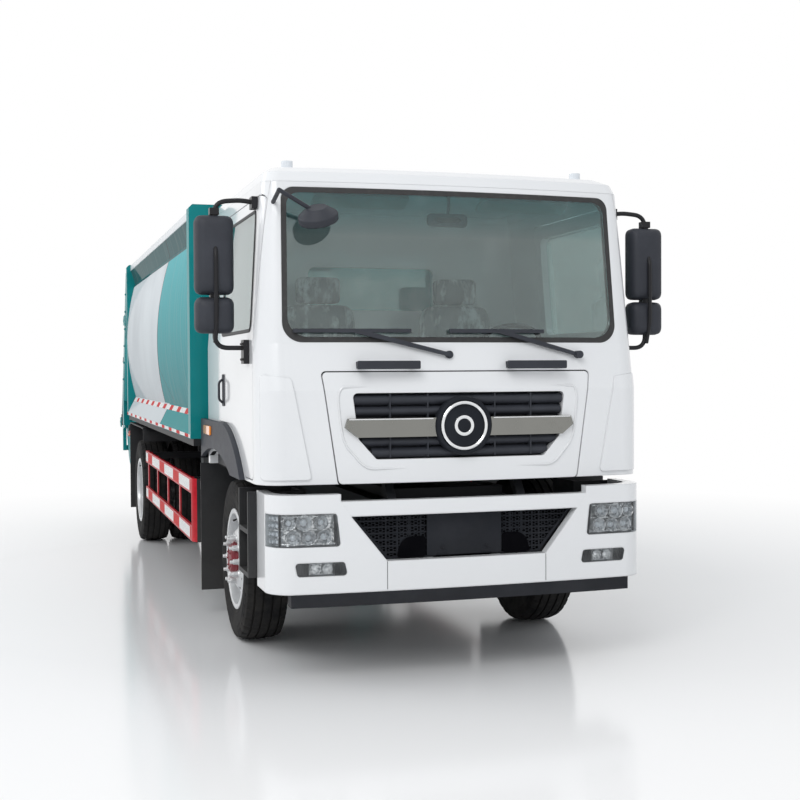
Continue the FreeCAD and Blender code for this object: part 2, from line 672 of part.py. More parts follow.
def leaf_spring(centre, seat_z, rise):
    """An arched leaf pack, hung from its rail by a shackle at both ends."""
    reach = S.spring_reach
    wall = S.spring_wall
    x = S.rail_x - S.spring_width / 2
    low = [(along(centre - reach), seat_z + rise), Via(along(centre), seat_z)]
    low += [(along(centre + reach), seat_z + rise), (along(centre + reach), seat_z + rise + wall / 2)]
    pack = low + [Via(along(centre), seat_z + wall), (along(centre - reach), seat_z + rise + wall / 2)]
    parts = [plate("YZ", [pack], x, S.spring_width)]
    for end in (-1, 1):
        middle = along(centre + (reach - S.hanger_length / 2) * end)
        parts.append(box(
            (x, middle - S.hanger_length / 2, seat_z + rise - wall / 2),
            (x + S.spring_width, middle + S.hanger_length / 2, S.rail_low_z),
        ))
    return fused(*parts)


def leaf_springs():
    """A pack on each side above the front beam and above the rear tube."""
    front_seat = HUB_HEIGHT + S.beam_height / 2 - S.beam_drop + S.seat_gap
    rear_seat = HUB_HEIGHT + S.rear_tube_radius + S.seat_gap
    front = leaf_spring(0, front_seat, S.spring_rise)
    rear = leaf_spring(REAR_AXLE, rear_seat, S.rear_spring_rise)
    node("leaf_springs", both(group(front, rear)))


def frame_rails():
    """Two channel rails with their open sides inwards, joined by tubes and by the bumper's beam in front."""
    outer = S.rail_x + S.rail_flange / 2
    inner = outer - S.rail_flange
    low, high, web = S.rail_low_z, S.rail_high_z, S.rail_web
    profile = [(outer, low), (outer, high), (inner, high), (inner, high - web)]
    profile += [(outer - web, high - web), (outer - web, low + web), (inner, low + web), (inner, low)]
    length = S.rail_rear_y - S.rail_front_y
    parts = []
    for side in (LEFT, RIGHT):
        parts.append(plate("XZ", [[(x * side, z) for x, z in profile]], along(S.rail_front_y), length))
    for share in CROSSMEMBER_SHARES:
        parts.append(rod("x", (web - outer, along(S.rail_front_y + length * share), (low + high) / 2 + S.crossmember_lift),
                         S.crossmember_radius, (outer - web) * 2))
    half = S.bumper_half_width - S.bumper_wall - S.bumper_round * ARC_SHARE
    front = along(S.rail_front_y)
    parts.append(box((-half, front - S.bumper_beam_depth, low), (half, front, S.bumper_beam_high_z)))
    reach = S.bumper_half_width - S.bumper_wall - S.seat_gap
    straight = along(S.bumper_face_y + S.bumper_wall + S.bumper_bow + S.bumper_round)
    for side in (LEFT, RIGHT):
        x = half - S.bracket_wall if side == LEFT else -half
        end = straight + S.bumper_beam_depth
        parts.append(box((x, front - S.bracket_wall, low), (x + S.bracket_wall, end, S.bumper_beam_high_z)))
        x = half - S.bracket_wall if side == LEFT else -reach
        parts.append(box((x, straight, low), (x + reach - half + S.bracket_wall, end, S.bumper_beam_high_z)))
    node("frame_rails", fused(*parts))


CROSSMEMBER_SHARES = (0.27, 0.42, 0.55, 0.68, 0.93)


def engine_block():
    """The engine as one block between the rails, with the radiator's block in front of it."""
    half = S.engine_half_width
    block = box((-half, along(S.engine_front_y), S.engine_low_z), (half, along(S.engine_rear_y), S.engine_high_z))
    half = S.radiator_half_width
    radiator = box(
        (-half, along(S.radiator_front_y), S.radiator_low_z),
        (half, along(S.engine_front_y), S.radiator_high_z),
    )
    reach = S.rail_x + S.rail_flange / 2 - S.rail_web - S.seat_gap
    middle = (S.rail_low_z + S.rail_high_z) / 2
    mounts = []
    for share in BRACKET_SHARES:
        start = along(S.engine_front_y) + (S.engine_rear_y - S.engine_front_y) * share
        mounts.append(box((-reach, start, middle - S.engine_mount_length / 2),
                          (reach, start + S.engine_mount_length, middle + S.engine_mount_length / 2)))
    node("engine_block", fused(block, radiator, *mounts))


def air_tanks():
    """Two air tanks on the right rail, one above the other, held by brackets."""
    outer = S.rail_x + S.rail_flange / 2
    parts = []
    for level in (S.tank_low_z, S.tank_high_z):
        tank = turned([[
            (0, 0), (S.tank_length, 0), (S.tank_length, S.tank_radius, S.tank_round), (0, S.tank_radius, S.tank_round),
        ]])
        parts.append(placed(tank, (-S.tank_x, along(S.tank_front_y), level), ((0, 0, 1), 90)))
    for share in BRACKET_SHARES:
        start = along(S.tank_front_y + S.tank_length * share)
        parts.append(box((-S.tank_x, start, S.tank_low_z), (-outer, start + S.bracket_wall, S.tank_high_z)))
    return fused(*parts)


BRACKET_SHARES = (0.2, 0.75)


def battery_box():
    outer = S.rail_x + S.rail_flange / 2
    return box(
        (-S.box_outer_x, along(S.box_front_y), S.box_low_z),
        (-outer, along(S.box_front_y + S.box_length), S.box_high_z),
    )


def fuel_tank():
    """A rounded tank on the left rail, carried by two brackets."""
    outer = S.rail_x + S.rail_flange / 2
    tank = plate("XZ", [[
        (S.fuel_inner_x, S.fuel_low_z, S.fuel_round),
        (S.fuel_outer_x, S.fuel_low_z, S.fuel_round),
        (S.fuel_outer_x, S.fuel_high_z, S.fuel_round),
        (S.fuel_inner_x, S.fuel_high_z, S.fuel_round),
    ]], along(S.fuel_front_y), S.fuel_length)
    parts = [tank]
    for share in BRACKET_SHARES:
        start = along(S.fuel_front_y + S.fuel_length * share)
        parts.append(box((outer, start, S.rail_low_z),
                         (S.fuel_inner_x + S.fuel_round, start + S.bracket_wall, S.rail_high_z - S.fuel_round)))
    middle = (S.fuel_low_z + S.fuel_high_z) / 2
    parts.append(rod("z", (S.fuel_inner_x + S.fuel_round * 2, along(S.fuel_front_y + S.fuel_length / 2), middle),
                     S.fuel_cap_radius, S.fuel_high_z + S.bracket_wall - middle))
    return fused(*parts)


def silencer():
    outer = S.rail_x + S.rail_flange / 2
    can = turned([[
        (0, 0), (S.silencer_length, 0), (S.silencer_length, S.silencer_radius, S.tank_round),
        (0, S.silencer_radius, S.tank_round),
    ]])
    parts = [placed(can, (S.silencer_x, along(S.silencer_front_y), S.silencer_z), ((0, 0, 1), 90))]
    for share in BRACKET_SHARES:
        start = along(S.silencer_front_y + S.silencer_length * share)
        parts.append(box((outer, start, S.rail_low_z + S.bracket_wall),
                         (S.silencer_x, start + S.bracket_wall, S.silencer_z + S.silencer_radius)))
    return fused(*parts)


def side_equipment():
    """What hangs on the rails between the axles: bare metal tanks, and dark boxes."""
    node("side_tanks", group(air_tanks(), fuel_tank()))
    node("side_boxes", group(battery_box(), silencer()))


def side_guards():
    """Two long rails on each side with upright posts and a curved plate in front, hung from the frame."""
    outer = S.guard_out_x
    wall = S.guard_wall
    front, rear = along(S.guard_front_y), along(S.guard_rear_y)
    parts = []
    for level in (S.guard_low_z, S.guard_high_z - S.guard_rail_height):
        parts.append(box((outer - wall, front, level), (outer, rear, level + S.guard_rail_height)))
    length = S.guard_rear_y - S.guard_front_y
    for share in GUARD_POST_SHARES:
        start = along(S.guard_front_y + (length - S.guard_post) * share)
        parts.append(box((outer - wall * 2, start, S.guard_low_z), (outer - wall, start + S.guard_post, S.guard_high_z)))
    radius, rest = S.guard_round, 1 - ARC_SHARE
    curve = [(outer, front), Via(outer - radius * ARC_SHARE, front - radius * rest), (outer - radius, front - radius)]
    curve += [(outer - S.guard_return, front - radius), (outer - S.guard_return, front - radius + wall)]
    curve += [(outer - radius, front - radius + wall)]
    curve += [Via(outer - radius * ARC_SHARE - wall * rest, front - radius * rest + wall * rest), (outer - wall, front)]
    parts.append(plate("XY", [curve], S.guard_low_z, S.guard_high_z - S.guard_low_z))
    rail = S.rail_x + S.rail_flange / 2
    for share in GUARD_ARM_SHARES:
        start = along(S.guard_front_y + (length - S.guard_post) * share)
        parts.append(box((rail, start, S.guard_arm_z), (outer - wall, start + S.guard_post, S.guard_arm_z + S.guard_post)))
    node("side_guards", both(fused(*parts)))


GUARD_POST_SHARES = (0.015, 0.25, 0.5, 0.75, 1)
GUARD_ARM_SHARES = (0.02, 0.92)


def front_mudflaps():
    """A flap behind each front wheel on an arm from the rail."""
    rail = S.rail_x + S.rail_flange / 2
    front = along(S.flap_front_y)
    flap = box((S.flap_in_x, front, S.flap_low_z), (S.flap_out_x, front + S.flap_wall, S.flap_high_z))
    arm = box((rail, front, S.guard_arm_z), (S.flap_out_x, front + S.flap_wall * 2, S.guard_arm_z + S.guard_post))
    node("front_mudflaps", both(fused(flap, arm)))


def rear_fenders():
    """A guard over each pair of rear wheels: flat top, short front fall and a long rear flap."""
    front, rear = along(S.fender_front_y), along(S.fender_rear_y)
    top, wall = S.fender_top_z, S.fender_wall
    profile = [(front, S.fender_front_z), (front, top, S.fender_round), (rear, top, S.fender_round), (rear, S.fender_rear_z)]
    profile += [(rear - wall, S.fender_rear_z), (rear - wall, top - wall, S.fender_round - wall)]
    profile += [(front + wall, top - wall, S.fender_round - wall), (front + wall, S.fender_front_z)]
    shell = plate("YZ", [profile], S.fender_in_x, S.fender_out_x - S.fender_in_x)
    rail = S.rail_x + S.rail_flange / 2
    arms = []
    for place in (front, rear - S.guard_post):
        arms.append(box((rail, place, S.rail_high_z - S.guard_post),
                        (S.fender_in_x + S.guard_post, place + S.guard_post, S.fender_arm_z)))
    node("rear_fenders", both(fused(shell, *arms)))


def underrun_bar():
    """The bar below the tail, carried by two brackets from the rail ends, with a lamp box at each end."""
    rear = along(S.rail_rear_y)
    half = S.underrun_half_width
    bar = box((-half, rear - S.underrun_depth, S.underrun_low_z), (half, rear, S.underrun_low_z + S.underrun_height))
    parts = [bar]
    rail = S.rail_x + S.rail_flange / 2
    for side in (LEFT, RIGHT):
        x = rail * side if side == RIGHT else rail - S.rail_flange
        parts.append(box((x, rear - S.underrun_depth, S.underrun_low_z), (x + S.rail_flange, rear, S.rail_low_z)))
    node("underrun_bar", fused(*parts))


def tail_lamp():
    """A lamp box on the end of the underrun bar."""
    rear = along(S.rail_rear_y) + S.seat_gap
    half = S.underrun_half_width
    top = S.underrun_low_z + S.underrun_height
    return box((half - S.tail_lamp_length, rear, S.underrun_low_z), (half, rear + S.tail_lamp_depth, top))


def common(first, second):
    """What two objects share."""
    item = document.addObject("Part::Common", "common")
    item.Base = first
    item.Tool = second
    return item


def bumper_outline(inset):
    """The bumper seen from above: bowed face, rounded corners and short sides."""
    half = S.bumper_half_width - inset
    face = along(S.bumper_face_y + inset)
    shoulder = half - S.bumper_round
    bow = face + S.bumper_bow
    side = bow + S.bumper_round
    rear = along(S.bumper_side_rear_y)
    kink = S.bumper_round * ARC_SHARE
    outline = [(-half, rear), (-half, side), Via(-half + kink, side - S.bumper_round + kink), (-shoulder, bow)]
    outline += [Via(0, face), (shoulder, bow), Via(half - kink, side - S.bumper_round + kink), (half, side), (half, rear)]
    return outline


ARC_SHARE = 1 - math.sqrt(0.5)


def bumper_shell(low, high):
    """The bumper's curved wall between two heights."""
    inner = bumper_outline(S.bumper_wall)
    wall = bumper_outline(0) + inner[::-1]
    return plate("XY", [wall], low, high - low)


def across_prism(outline, depth=None):
    """A tool: an outline seen from the front, through the whole nose of the truck."""
    start = along(S.bumper_face_y) - S.cut_overrun
    return plate("XZ", [outline], start, depth or S.nose_tool_depth)


def two_sided(half_outline):
    """A closed outline from the right-hand half of its corners, listed from bottom to top."""
    return half_outline + [(-entry[0],) + tuple(entry[1:]) for entry in half_outline[::-1]]


def lamp_outline(in_x, out_x, low, high, slope, margin):
    """A lamp's face: rounded, with a slanted inner edge."""
    radius = S.lamp_round
    return [
        (in_x + margin, low + margin, radius), (out_x - margin, low + margin, radius),
        (out_x + slope - margin, high - margin, radius), (in_x + slope + margin, high - margin, radius),
    ]


def bumper():
    """Two corner pieces, two centre bars and the lamps, all cut from one curved wall."""
    wall = bumper_shell(S.bumper_low_z, S.bumper_high_z)
    opening = across_prism(two_sided([
        (S.grille_low_x, S.bumper_low_z - S.cut_overrun), (S.grille_low_x, S.low_bar_high_z),
        (S.grille_mid_x, S.centre_bar_low_z), (S.grille_top_x, S.centre_bar_high_z),
        (S.grille_top_x, S.bumper_high_z + S.cut_overrun),
    ]))
    head = (S.headlamp_in_x, S.headlamp_out_x, S.headlamp_low_z, S.headlamp_high_z, S.headlamp_slope)
    fog = (S.fog_in_x, S.fog_out_x, S.fog_low_z, S.fog_high_z, S.fog_slope)
    pockets = []
    for lamp in (head, fog):
        pockets.append(both(across_prism(lamp_outline(*lamp, 0), S.lamp_tool_depth)))
    corners = cut(wall, opening, *pockets)
    tools = [both(across_prism(lamp_outline(*lamp, S.seat_gap), S.lamp_tool_depth)) for lamp in (head, fog)]
    lenses = common(bumper_shell(S.bumper_low_z, S.bumper_high_z), group(*tools))
    node("lamps", group(lenses, both(tail_lamp())))
    gap = S.seat_gap
    upper = across_prism(two_sided([
        (S.grille_mid_x - gap, S.centre_bar_low_z), (S.grille_top_x - gap, S.centre_bar_high_z),
    ]))
    lower = across_prism(two_sided([
        (S.grille_low_x - gap, S.bumper_low_z), (S.grille_low_x - gap, S.low_bar_high_z),
    ]))
    back = along(S.rail_front_y) - S.bumper_beam_depth
    inner_face = along(S.bumper_face_y + S.bumper_wall)
    stays = []
    for side in (LEFT, RIGHT):
        x = S.bar_stay_x * side - S.bracket_wall / 2
        stays.append(box((x, back - S.stay_depth, S.low_bar_high_z - S.stay_lap),
                         (x + S.bracket_wall, back, S.centre_bar_low_z + S.stay_lap)))
        for level in (S.low_bar_high_z - S.stay_lap, S.centre_bar_low_z):
            stays.append(box((x, inner_face - S.stay_lap, level), (x + S.bracket_wall, back, level + S.stay_lap)))
    bars = common(bumper_shell(S.bumper_low_z, S.bumper_high_z), group(upper, lower))
    node("bumper", group(corners, fused(bars, *stays)))


def bumper_grille():
    """A mesh of slats and posts in the lower opening, with a plain middle plate and two tow pockets."""
    front = along(S.bumper_face_y + S.bumper_wall) + S.seat_gap + S.grille_setback
    back = front + S.slat_wall
    low, high = S.low_bar_high_z + S.seat_gap, S.centre_bar_low_z - S.seat_gap
    lean = (S.grille_mid_x - S.grille_low_x) / (high - low)
    outline = two_sided([(S.grille_low_x - S.slat_wall, low), (S.grille_mid_x - S.slat_wall, high)])
    inside = two_sided([
        (S.grille_low_x - S.slat_wall * 2, low + S.slat_wall), (S.grille_mid_x - S.slat_wall * 3, high - S.slat_wall),
    ])
    parts = [plate("XZ", [outline, inside], front, S.slat_wall)]
    step = (high - low) / SLAT_COUNT
    for index in range(1, SLAT_COUNT):
        level = low + step * index
        half = S.grille_low_x - S.slat_wall * 2 + lean * (level - low)
        parts.append(box((-half, front, level - S.slat_line / 2), (half, back, level + S.slat_line / 2)))
    post_step = S.grille_low_x * 2 / POST_COUNT
    for index in range(POST_COUNT + 1):
        x = post_step * index - S.grille_low_x + S.slat_wall
        x = x if index < POST_COUNT else x - S.slat_wall * 2
        parts.append(box((x - S.slat_line / 2, front, low), (x + S.slat_line / 2, back, high)))
    parts.append(box((-S.plate_half_width, front - S.slat_wall / 2, S.plate_low_z), (S.plate_half_width, back, S.plate_high_z)))
    for side in (LEFT, RIGHT):
        x = S.tow_pocket_in_x if side == LEFT else -S.tow_pocket_out_x
        width = S.tow_pocket_out_x - S.tow_pocket_in_x
        parts.append(box((x, front, S.tow_pocket_low_z), (x + width, along(S.rail_front_y) - S.bumper_beam_depth, S.tow_pocket_high_z)))
    return fused(*parts)


SLAT_COUNT = 7
POST_COUNT = 14


def front_skirt():
    """The dark lip below the bumper, bowed like it and hung from the beam."""
    low, high = S.skirt_low_z, S.bumper_low_z
    lip = bumper_shell(low, high - S.seat_gap)
    trimmed = common(lip, box((-S.skirt_x, along(S.bumper_face_y), low), (S.skirt_x, along(S.bumper_side_rear_y), high)))
    stays = []
    back = along(S.rail_front_y) - S.bumper_beam_depth
    for side in (LEFT, RIGHT):
        x = S.skirt_stay_x * side - S.bracket_wall / 2
        stays.append(box((x, along(S.bumper_face_y + S.bumper_wall), low), (x + S.bracket_wall, back, low + S.bracket_wall)))
        stays.append(box((x, back, low), (x + S.bracket_wall, back + S.bracket_wall, S.rail_low_z)))
    return fused(trimmed, *stays)


def bumper_trim():
    node("bumper_trim", group(bumper_grille(), front_skirt()))


def cab_steps():
    """Two treads on each side in front of the wheel, between side cheeks, bolted to the bumper's end."""
    front, rear = along(S.bumper_side_rear_y) + S.seat_gap, along(S.step_rear_y)
    parts = []
    for level in (S.step_low_z, S.step_mid_z):
        parts.append(box((S.step_in_x, front, level), (S.step_out_x, rear, level + S.step_wall)))
    parts.append(box((S.step_in_x, front, S.step_low_z), (S.step_in_x + S.step_wall, rear, S.step_high_z)))
    parts.append(box((S.step_in_x, rear - S.step_wall, S.step_low_z), (S.step_out_x, rear, S.step_high_z)))
    parts.append(box((S.step_in_x, front, S.step_low_z), (S.step_out_x, front + S.step_wall, S.step_high_z)))
    node("cab_steps", both(fused(*parts)))


ROOF_TOP = S.roof_low_z + S.roof_edge_rise + S.roof_crown_rise


def cab_levels():
    """Height, half width, front and corner depth of the cab at each of its bends, from the floor up."""
    return [
        (S.cab_low_z, S.cab_half_width, S.cab_front_y, S.corner_width),
        (S.cab_bend_z, S.cab_half_width, S.cab_front_y, S.corner_width),
        (S.cowl_high_z, S.cab_half_width, S.screen_foot_y, S.corner_width),
        (S.roof_low_z, S.cab_half_width - S.cab_lean, S.screen_head_y, S.corner_top_width),
        (S.roof_low_z + S.roof_edge_rise, S.cab_half_width - S.cab_lean - S.roof_step,
         S.screen_head_y + S.roof_step * 2, S.corner_top_width),
        (ROOF_TOP, S.cab_half_width - S.cab_lean - S.roof_step * 4,
         S.screen_head_y + S.roof_step * 6, S.corner_top_width),
    ]


def cab_section(level, inset):
    """The cab seen from above at one height: bowed front, rounded corners and straight sides."""
    height, half_width, front_y, corner = level
    half = half_width - inset
    front = along(front_y + inset)
    bow = front + S.cab_bow
    side = bow + corner
    kink = corner * ARC_SHARE
    rear = along(S.cab_rear_y) - inset
    return [
        (-half, rear), (-half, side), Via(-half + kink, side - corner + kink), (-half + corner, bow),
        Via(0, front), (half - corner, bow), Via(half - kink, side - corner + kink), (half, side), (half, rear),
    ]


def lofted(levels, inset, lower, raise_top):
    """A solid through the cab's sections, from below the floor if asked."""
    sketches = []
    for index, level in enumerate(levels):
        height = level[0]
        if index == 0:
            height = height - lower
        if index == len(levels) - 1:
            height = height - raise_top
        sketches.append(draw(None, "XY", [cab_section(level, inset)], height))
    loft = document.addObject("Part::Loft", "loft")
    loft.Sections = sketches
    loft.Solid = True
    loft.Ruled = True
    return loft


def side_prism(outline, side):
    """A tool: an outline seen from the side, through one half of the cab."""
    start = S.cab_half_width - S.side_tool_depth if side == LEFT else -S.cab_half_width - S.cut_overrun
    return plate("YZ", [outline], start, S.side_tool_depth + S.cut_overrun)


def door_outline(margin):
    """The door seen from the side, with a slanted front edge above the sill."""
    low, high = S.door_low_z + margin, S.door_high_z - margin
    front, rear = along(S.door_front_y) + margin, along(S.door_rear_y) - margin
    radius = S.door_round
    return [(front, low, radius), (rear, low, radius), (rear, high, radius), (front, high, radius)]


def window_outline(margin):
    """The door's window seen from the side."""
    border = S.door_window_border - margin
    low, high = S.door_window_sill_z - margin, S.door_window_top_z + margin
    front, rear = along(S.door_front_y) + border, along(S.door_rear_y) - border
    radius = S.window_round
    return [
        (front, low, radius), (rear, low, radius), (rear, high, radius), (front + S.window_slant, high, radius),
    ]


def screen_outline(margin):
    """The windscreen seen from the front: lower corners rounder than the upper ones."""
    return two_sided([
        (S.screen_low_x + margin, S.screen_low_z - margin, S.screen_round),
        (S.screen_high_x + margin, S.screen_high_z + margin, S.screen_round * SCREEN_TOP_SHARE),
    ])


SCREEN_TOP_SHARE = 0.65


def arch_outline():
    """The wheel arch's opening seen from the side, under a flat curve."""
    low = S.cab_low_z - S.cut_overrun
    front, rear = along(S.arch_front_y), along(S.cab_rear_y) + S.cut_overrun
    return [
        (front, low), (front, S.cab_low_z), Via(along(S.arch_crown_y), S.arch_top_z),
        (rear, S.arch_rear_z), (rear, low),
    ]


def flare_edge(margin):
    """The upper edge of the arch lip seen from the side, from its front foot to its rear corner."""
    rear = along(S.flare_rear_y) + margin
    return [
        (along(S.flare_front_y) - margin, S.cab_low_z),
        Via(along(S.flare_shoulder_y - S.flare_curve_y) - margin, S.flare_curve_z + margin),
        (along(S.flare_shoulder_y), S.arch_flat_z + margin), (rear, S.arch_flat_z + margin, S.lid_round),
    ]


def flare_outline(margin):
    """All of a cab side that the arch lip covers, which stays with the cab when a door opens."""
    return flare_edge(margin) + [(along(S.flare_rear_y) + margin, S.cab_low_z)]


def lid_outline(margin):
    """The front lid seen from the front, wider at the top."""
    return two_sided([
        (S.hood_low_x - margin, S.hood_low_z + margin, S.lid_round),
        (S.hood_high_x - margin, S.hood_high_z - margin, S.lid_round),
    ])


def corner_pad_outline(side):
    """The raised panel between the lid and the cab's side, narrower at the top."""
    return [
        (S.corner_pad_low_x * side, S.corner_pad_low_z, S.corner_pad_round),
        (S.corner_pad_out_x * side, S.corner_pad_low_z, S.corner_pad_round),
        (S.corner_pad_out_x * side, S.corner_pad_high_z, S.corner_pad_round),
        (S.corner_pad_high_x * side, S.corner_pad_high_z - S.corner_pad_round, S.corner_pad_round),
    ]


def grille_outline(margin):
    """The grille's opening: straight above, drawn in below the bright bar."""
    return two_sided([
        (S.grille_foot_x - margin, S.grille_foot_z + margin, S.lid_round),
        (S.grille_knee_x - margin, S.grille_knee_z, S.lid_round),
        (S.grille_head_x - margin, S.grille_head_z - margin, S.lid_round),
    ])


def nose_tool(outline):
    """A tool: an outline seen from the front, through the cab's front only."""
    return plate("XZ", [outline], along(S.cab_front_y) - S.cut_overrun, S.screen_tool_depth)


def cab():
    levels = cab_levels()
    outer = lofted(levels, 0, 0, 0)
    inner = lofted(levels, S.cab_wall, S.cut_overrun, S.cab_wall)
    shell = cut(outer, inner)
    wide = S.cab_half_width + S.cut_overrun
    front = along(S.cab_front_y) - S.cut_overrun
    rear = along(S.cab_rear_y) + S.cut_overrun
    low, top = S.cab_low_z - S.cut_overrun, ROOF_TOP + S.cut_overrun
    door_line = along(S.door_front_y)
    rear_line = along(S.cab_rear_y) - S.cab_wall
    arch = plate("YZ", [arch_outline()], -wide, wide * 2)

    # Each panel is the part of the shell inside its own tool
    roof_tool = box((-wide, front, S.roof_low_z), (wide, rear, top))
    node("cab_roof", common(shell, roof_tool))
    inner_half = S.cab_half_width - S.side_tool_depth
    header = box((-inner_half, front, low), (inner_half, door_line + S.cab_bow + S.cab_wall, S.roof_low_z))
    front_tool = fused(box((-wide, front, low), (wide, door_line, S.roof_low_z)), header)
    lower_tool = box((-wide, front, low), (wide, door_line, S.hood_high_z))
    screen_tool = nose_tool(screen_outline(S.screen_seal))
    upper_panel = cut(common(shell, cut(front_tool, lower_tool)), screen_tool)
    corners = cut(common(shell, lower_tool), nose_tool(lid_outline(0)), arch)
    raised = cut(placed(outer, (0, -S.corner_pad_rise, 0)), outer)
    pads = common(raised, group(*[nose_tool(corner_pad_outline(side)) for side in (LEFT, RIGHT)]))
    node("cab_front", fused(upper_panel, corners, pads))
    side_tool = box((-wide, door_line, low), (wide, rear_line, S.roof_low_z))
    doorways = [cut(side_prism(door_outline(0), side), side_prism(flare_outline(0), side)) for side in (LEFT, RIGHT)]
    node("cab_sides", cut(common(shell, side_tool), *doorways, arch, screen_tool, header))
    rear_tool = box((-wide, rear_line, low), (wide, rear, S.roof_low_z))
    half = S.rear_window_half_width
    rear_window = [(-half, S.rear_window_low_z, S.window_round), (half, S.rear_window_low_z, S.window_round),
                   (half, S.rear_window_high_z, S.window_round), (-half, S.rear_window_high_z, S.window_round)]
    hole = plate("XZ", [rear_window], rear_line - S.cut_overrun, S.cab_wall + S.cut_overrun * 2)
    node("cab_rear", cut(common(shell, rear_tool), hole))
    pane = []
    for x, z in ((-1, 0), (1, 0), (1, 1), (-1, 1)):
        level = S.rear_window_low_z + S.seat_gap if z == 0 else S.rear_window_high_z - S.seat_gap
        pane.append(((half - S.seat_gap) * x, level, S.window_round))
    rear_pane = plate("XZ", [pane], rear_line + S.cab_wall / 2, S.glass_wall)
    floor = plate("XY", [cab_section(levels[0], S.cab_wall + S.seat_gap)], S.cab_low_z, S.cab_floor_wall)
    node("cab_floor", fused(floor, *seat_boxes(), *hinge_arms()))

    # Glass is a thin skin of the cab's outer form
    skin = cut(outer, placed(outer, (0, S.glass_wall, 0)))
    node("cab_glass", group(common(skin, nose_tool(screen_outline(-S.seat_gap))), rear_pane))
    frame = cut(outer, placed(outer, (0, S.seal_wall, 0)))
    ring = cut(nose_tool(screen_outline(S.screen_seal - S.seat_gap)), nose_tool(screen_outline(0)))
    node("screen_seal", common(frame, ring))

    for side, word in SIDES:
        panel = common(shell, side_prism(door_outline(S.door_gap), side))
        clear = nose_tool(screen_outline(S.screen_seal + S.door_gap))
        lip = side_prism(flare_outline(S.door_gap), side)
        node("door_" + word, cut(panel, side_prism(window_outline(0), side), arch, clear, lip))
        side_skin = cut(outer, placed(outer, (-S.glass_wall * side, 0, 0)))
        node("door_glass_" + word, common(side_skin, side_prism(window_outline(-S.seat_gap), side)))

    # Above the grille the lid is thin, so that its upper corners swing clear of the opening
    thinned = common(placed(outer, (0, S.lid_wall, 0)), box((-wide, front, S.grille_head_z), (wide, rear, top)))
    lid = cut(common(shell, nose_tool(lid_outline(S.door_gap))), nose_tool(grille_outline(0)), thinned)
    node("front_lid", lid)
    inside = placed(outer, (0, S.grille_setback, 0))
    bars = []
    height = S.grille_head_z - S.grille_foot_z
    for share in GRILLE_BAR_SHARES:
        level = S.grille_foot_z + height * share
        bars.append(box((-wide, front, level), (wide, door_line, level + S.grille_bar_height)))
    band = cut(inside, placed(outer, (0, S.grille_setback + S.slat_wall * 2, 0)))
    mesh = common(common(band, fused(*bars)), nose_tool(grille_outline(S.seat_gap)))
    behind = cut(placed(outer, (0, S.grille_setback + S.slat_wall * 2, 0)), inner)
    backing = common(behind, nose_tool(grille_outline(S.seat_gap)))
    bar_tool = nose_tool(two_sided([
        (S.bar_low_x, S.bar_low_z), (S.bar_tip_x, S.bar_tip_z), (S.bar_high_x, S.bar_high_z),
    ]))
    proud = cut(placed(outer, (0, -S.bar_proud, 0)), outer)
    rest = common(cut(outer, inside), nose_tool(grille_outline(S.seat_gap)))
    bar = common(fused(proud, rest), bar_tool)
    emblem = rod("y", (0, along(S.cab_front_y) - S.emblem_proud, S.emblem_z), S.emblem_radius,
                 S.emblem_proud + S.grille_setback)
    cab_trim(outer)
    hole = rod("y", (0, front - S.cut_overrun, S.emblem_z), S.emblem_radius + S.seat_gap, S.screen_tool_depth)
    node("grille_bar", cut(bar, hole))
    node("grille_slats", fused(mesh, backing, emblem))


GRILLE_BAR_SHARES = (0.1, 0.27, 0.73, 0.88)


def seat_boxes():
    """The plinth under each seat, standing on the floor."""
    parts = []
    floor = S.cab_low_z + S.cab_floor_wall
    for side in (LEFT, RIGHT):
        x = S.seat_x * side
        parts.append(box((x - S.seat_half_width * PLINTH_SHARE, along(S.seat_front_y + S.seat_round), floor),
                         (x + S.seat_half_width * PLINTH_SHARE, along(S.seat_rear_y), S.seat_low_z - S.seat_gap)))
    return parts


PLINTH_SHARE = 0.85


def hinge_arms():
    """Two arms below the floor's front edge that the cab tips forward on."""
    parts = []
    for side in (LEFT, RIGHT):
        x = S.tilt_arm_x * side - S.tilt_arm_wall / 2
        top = S.cab_low_z + S.cab_floor_wall / 2
        arm = plate("YZ", [[
            (along(S.tilt_y - S.tilt_eye), S.tilt_z), Via(along(S.tilt_y), S.tilt_z - S.tilt_eye),
            (along(S.tilt_y + S.tilt_eye), S.tilt_z),
            (along(S.tilt_y + S.tilt_arm_back + S.tilt_arm_depth), top), (along(S.tilt_y + S.tilt_arm_back), top),
        ]], x, S.tilt_arm_wall)
        bore = rod("x", (x - S.cut_overrun, along(S.tilt_y), S.tilt_z), S.tilt_pin_radius + S.seat_gap,
                   S.tilt_arm_wall + S.cut_overrun * 2)
        parts.append(cut(arm, bore))
    return parts


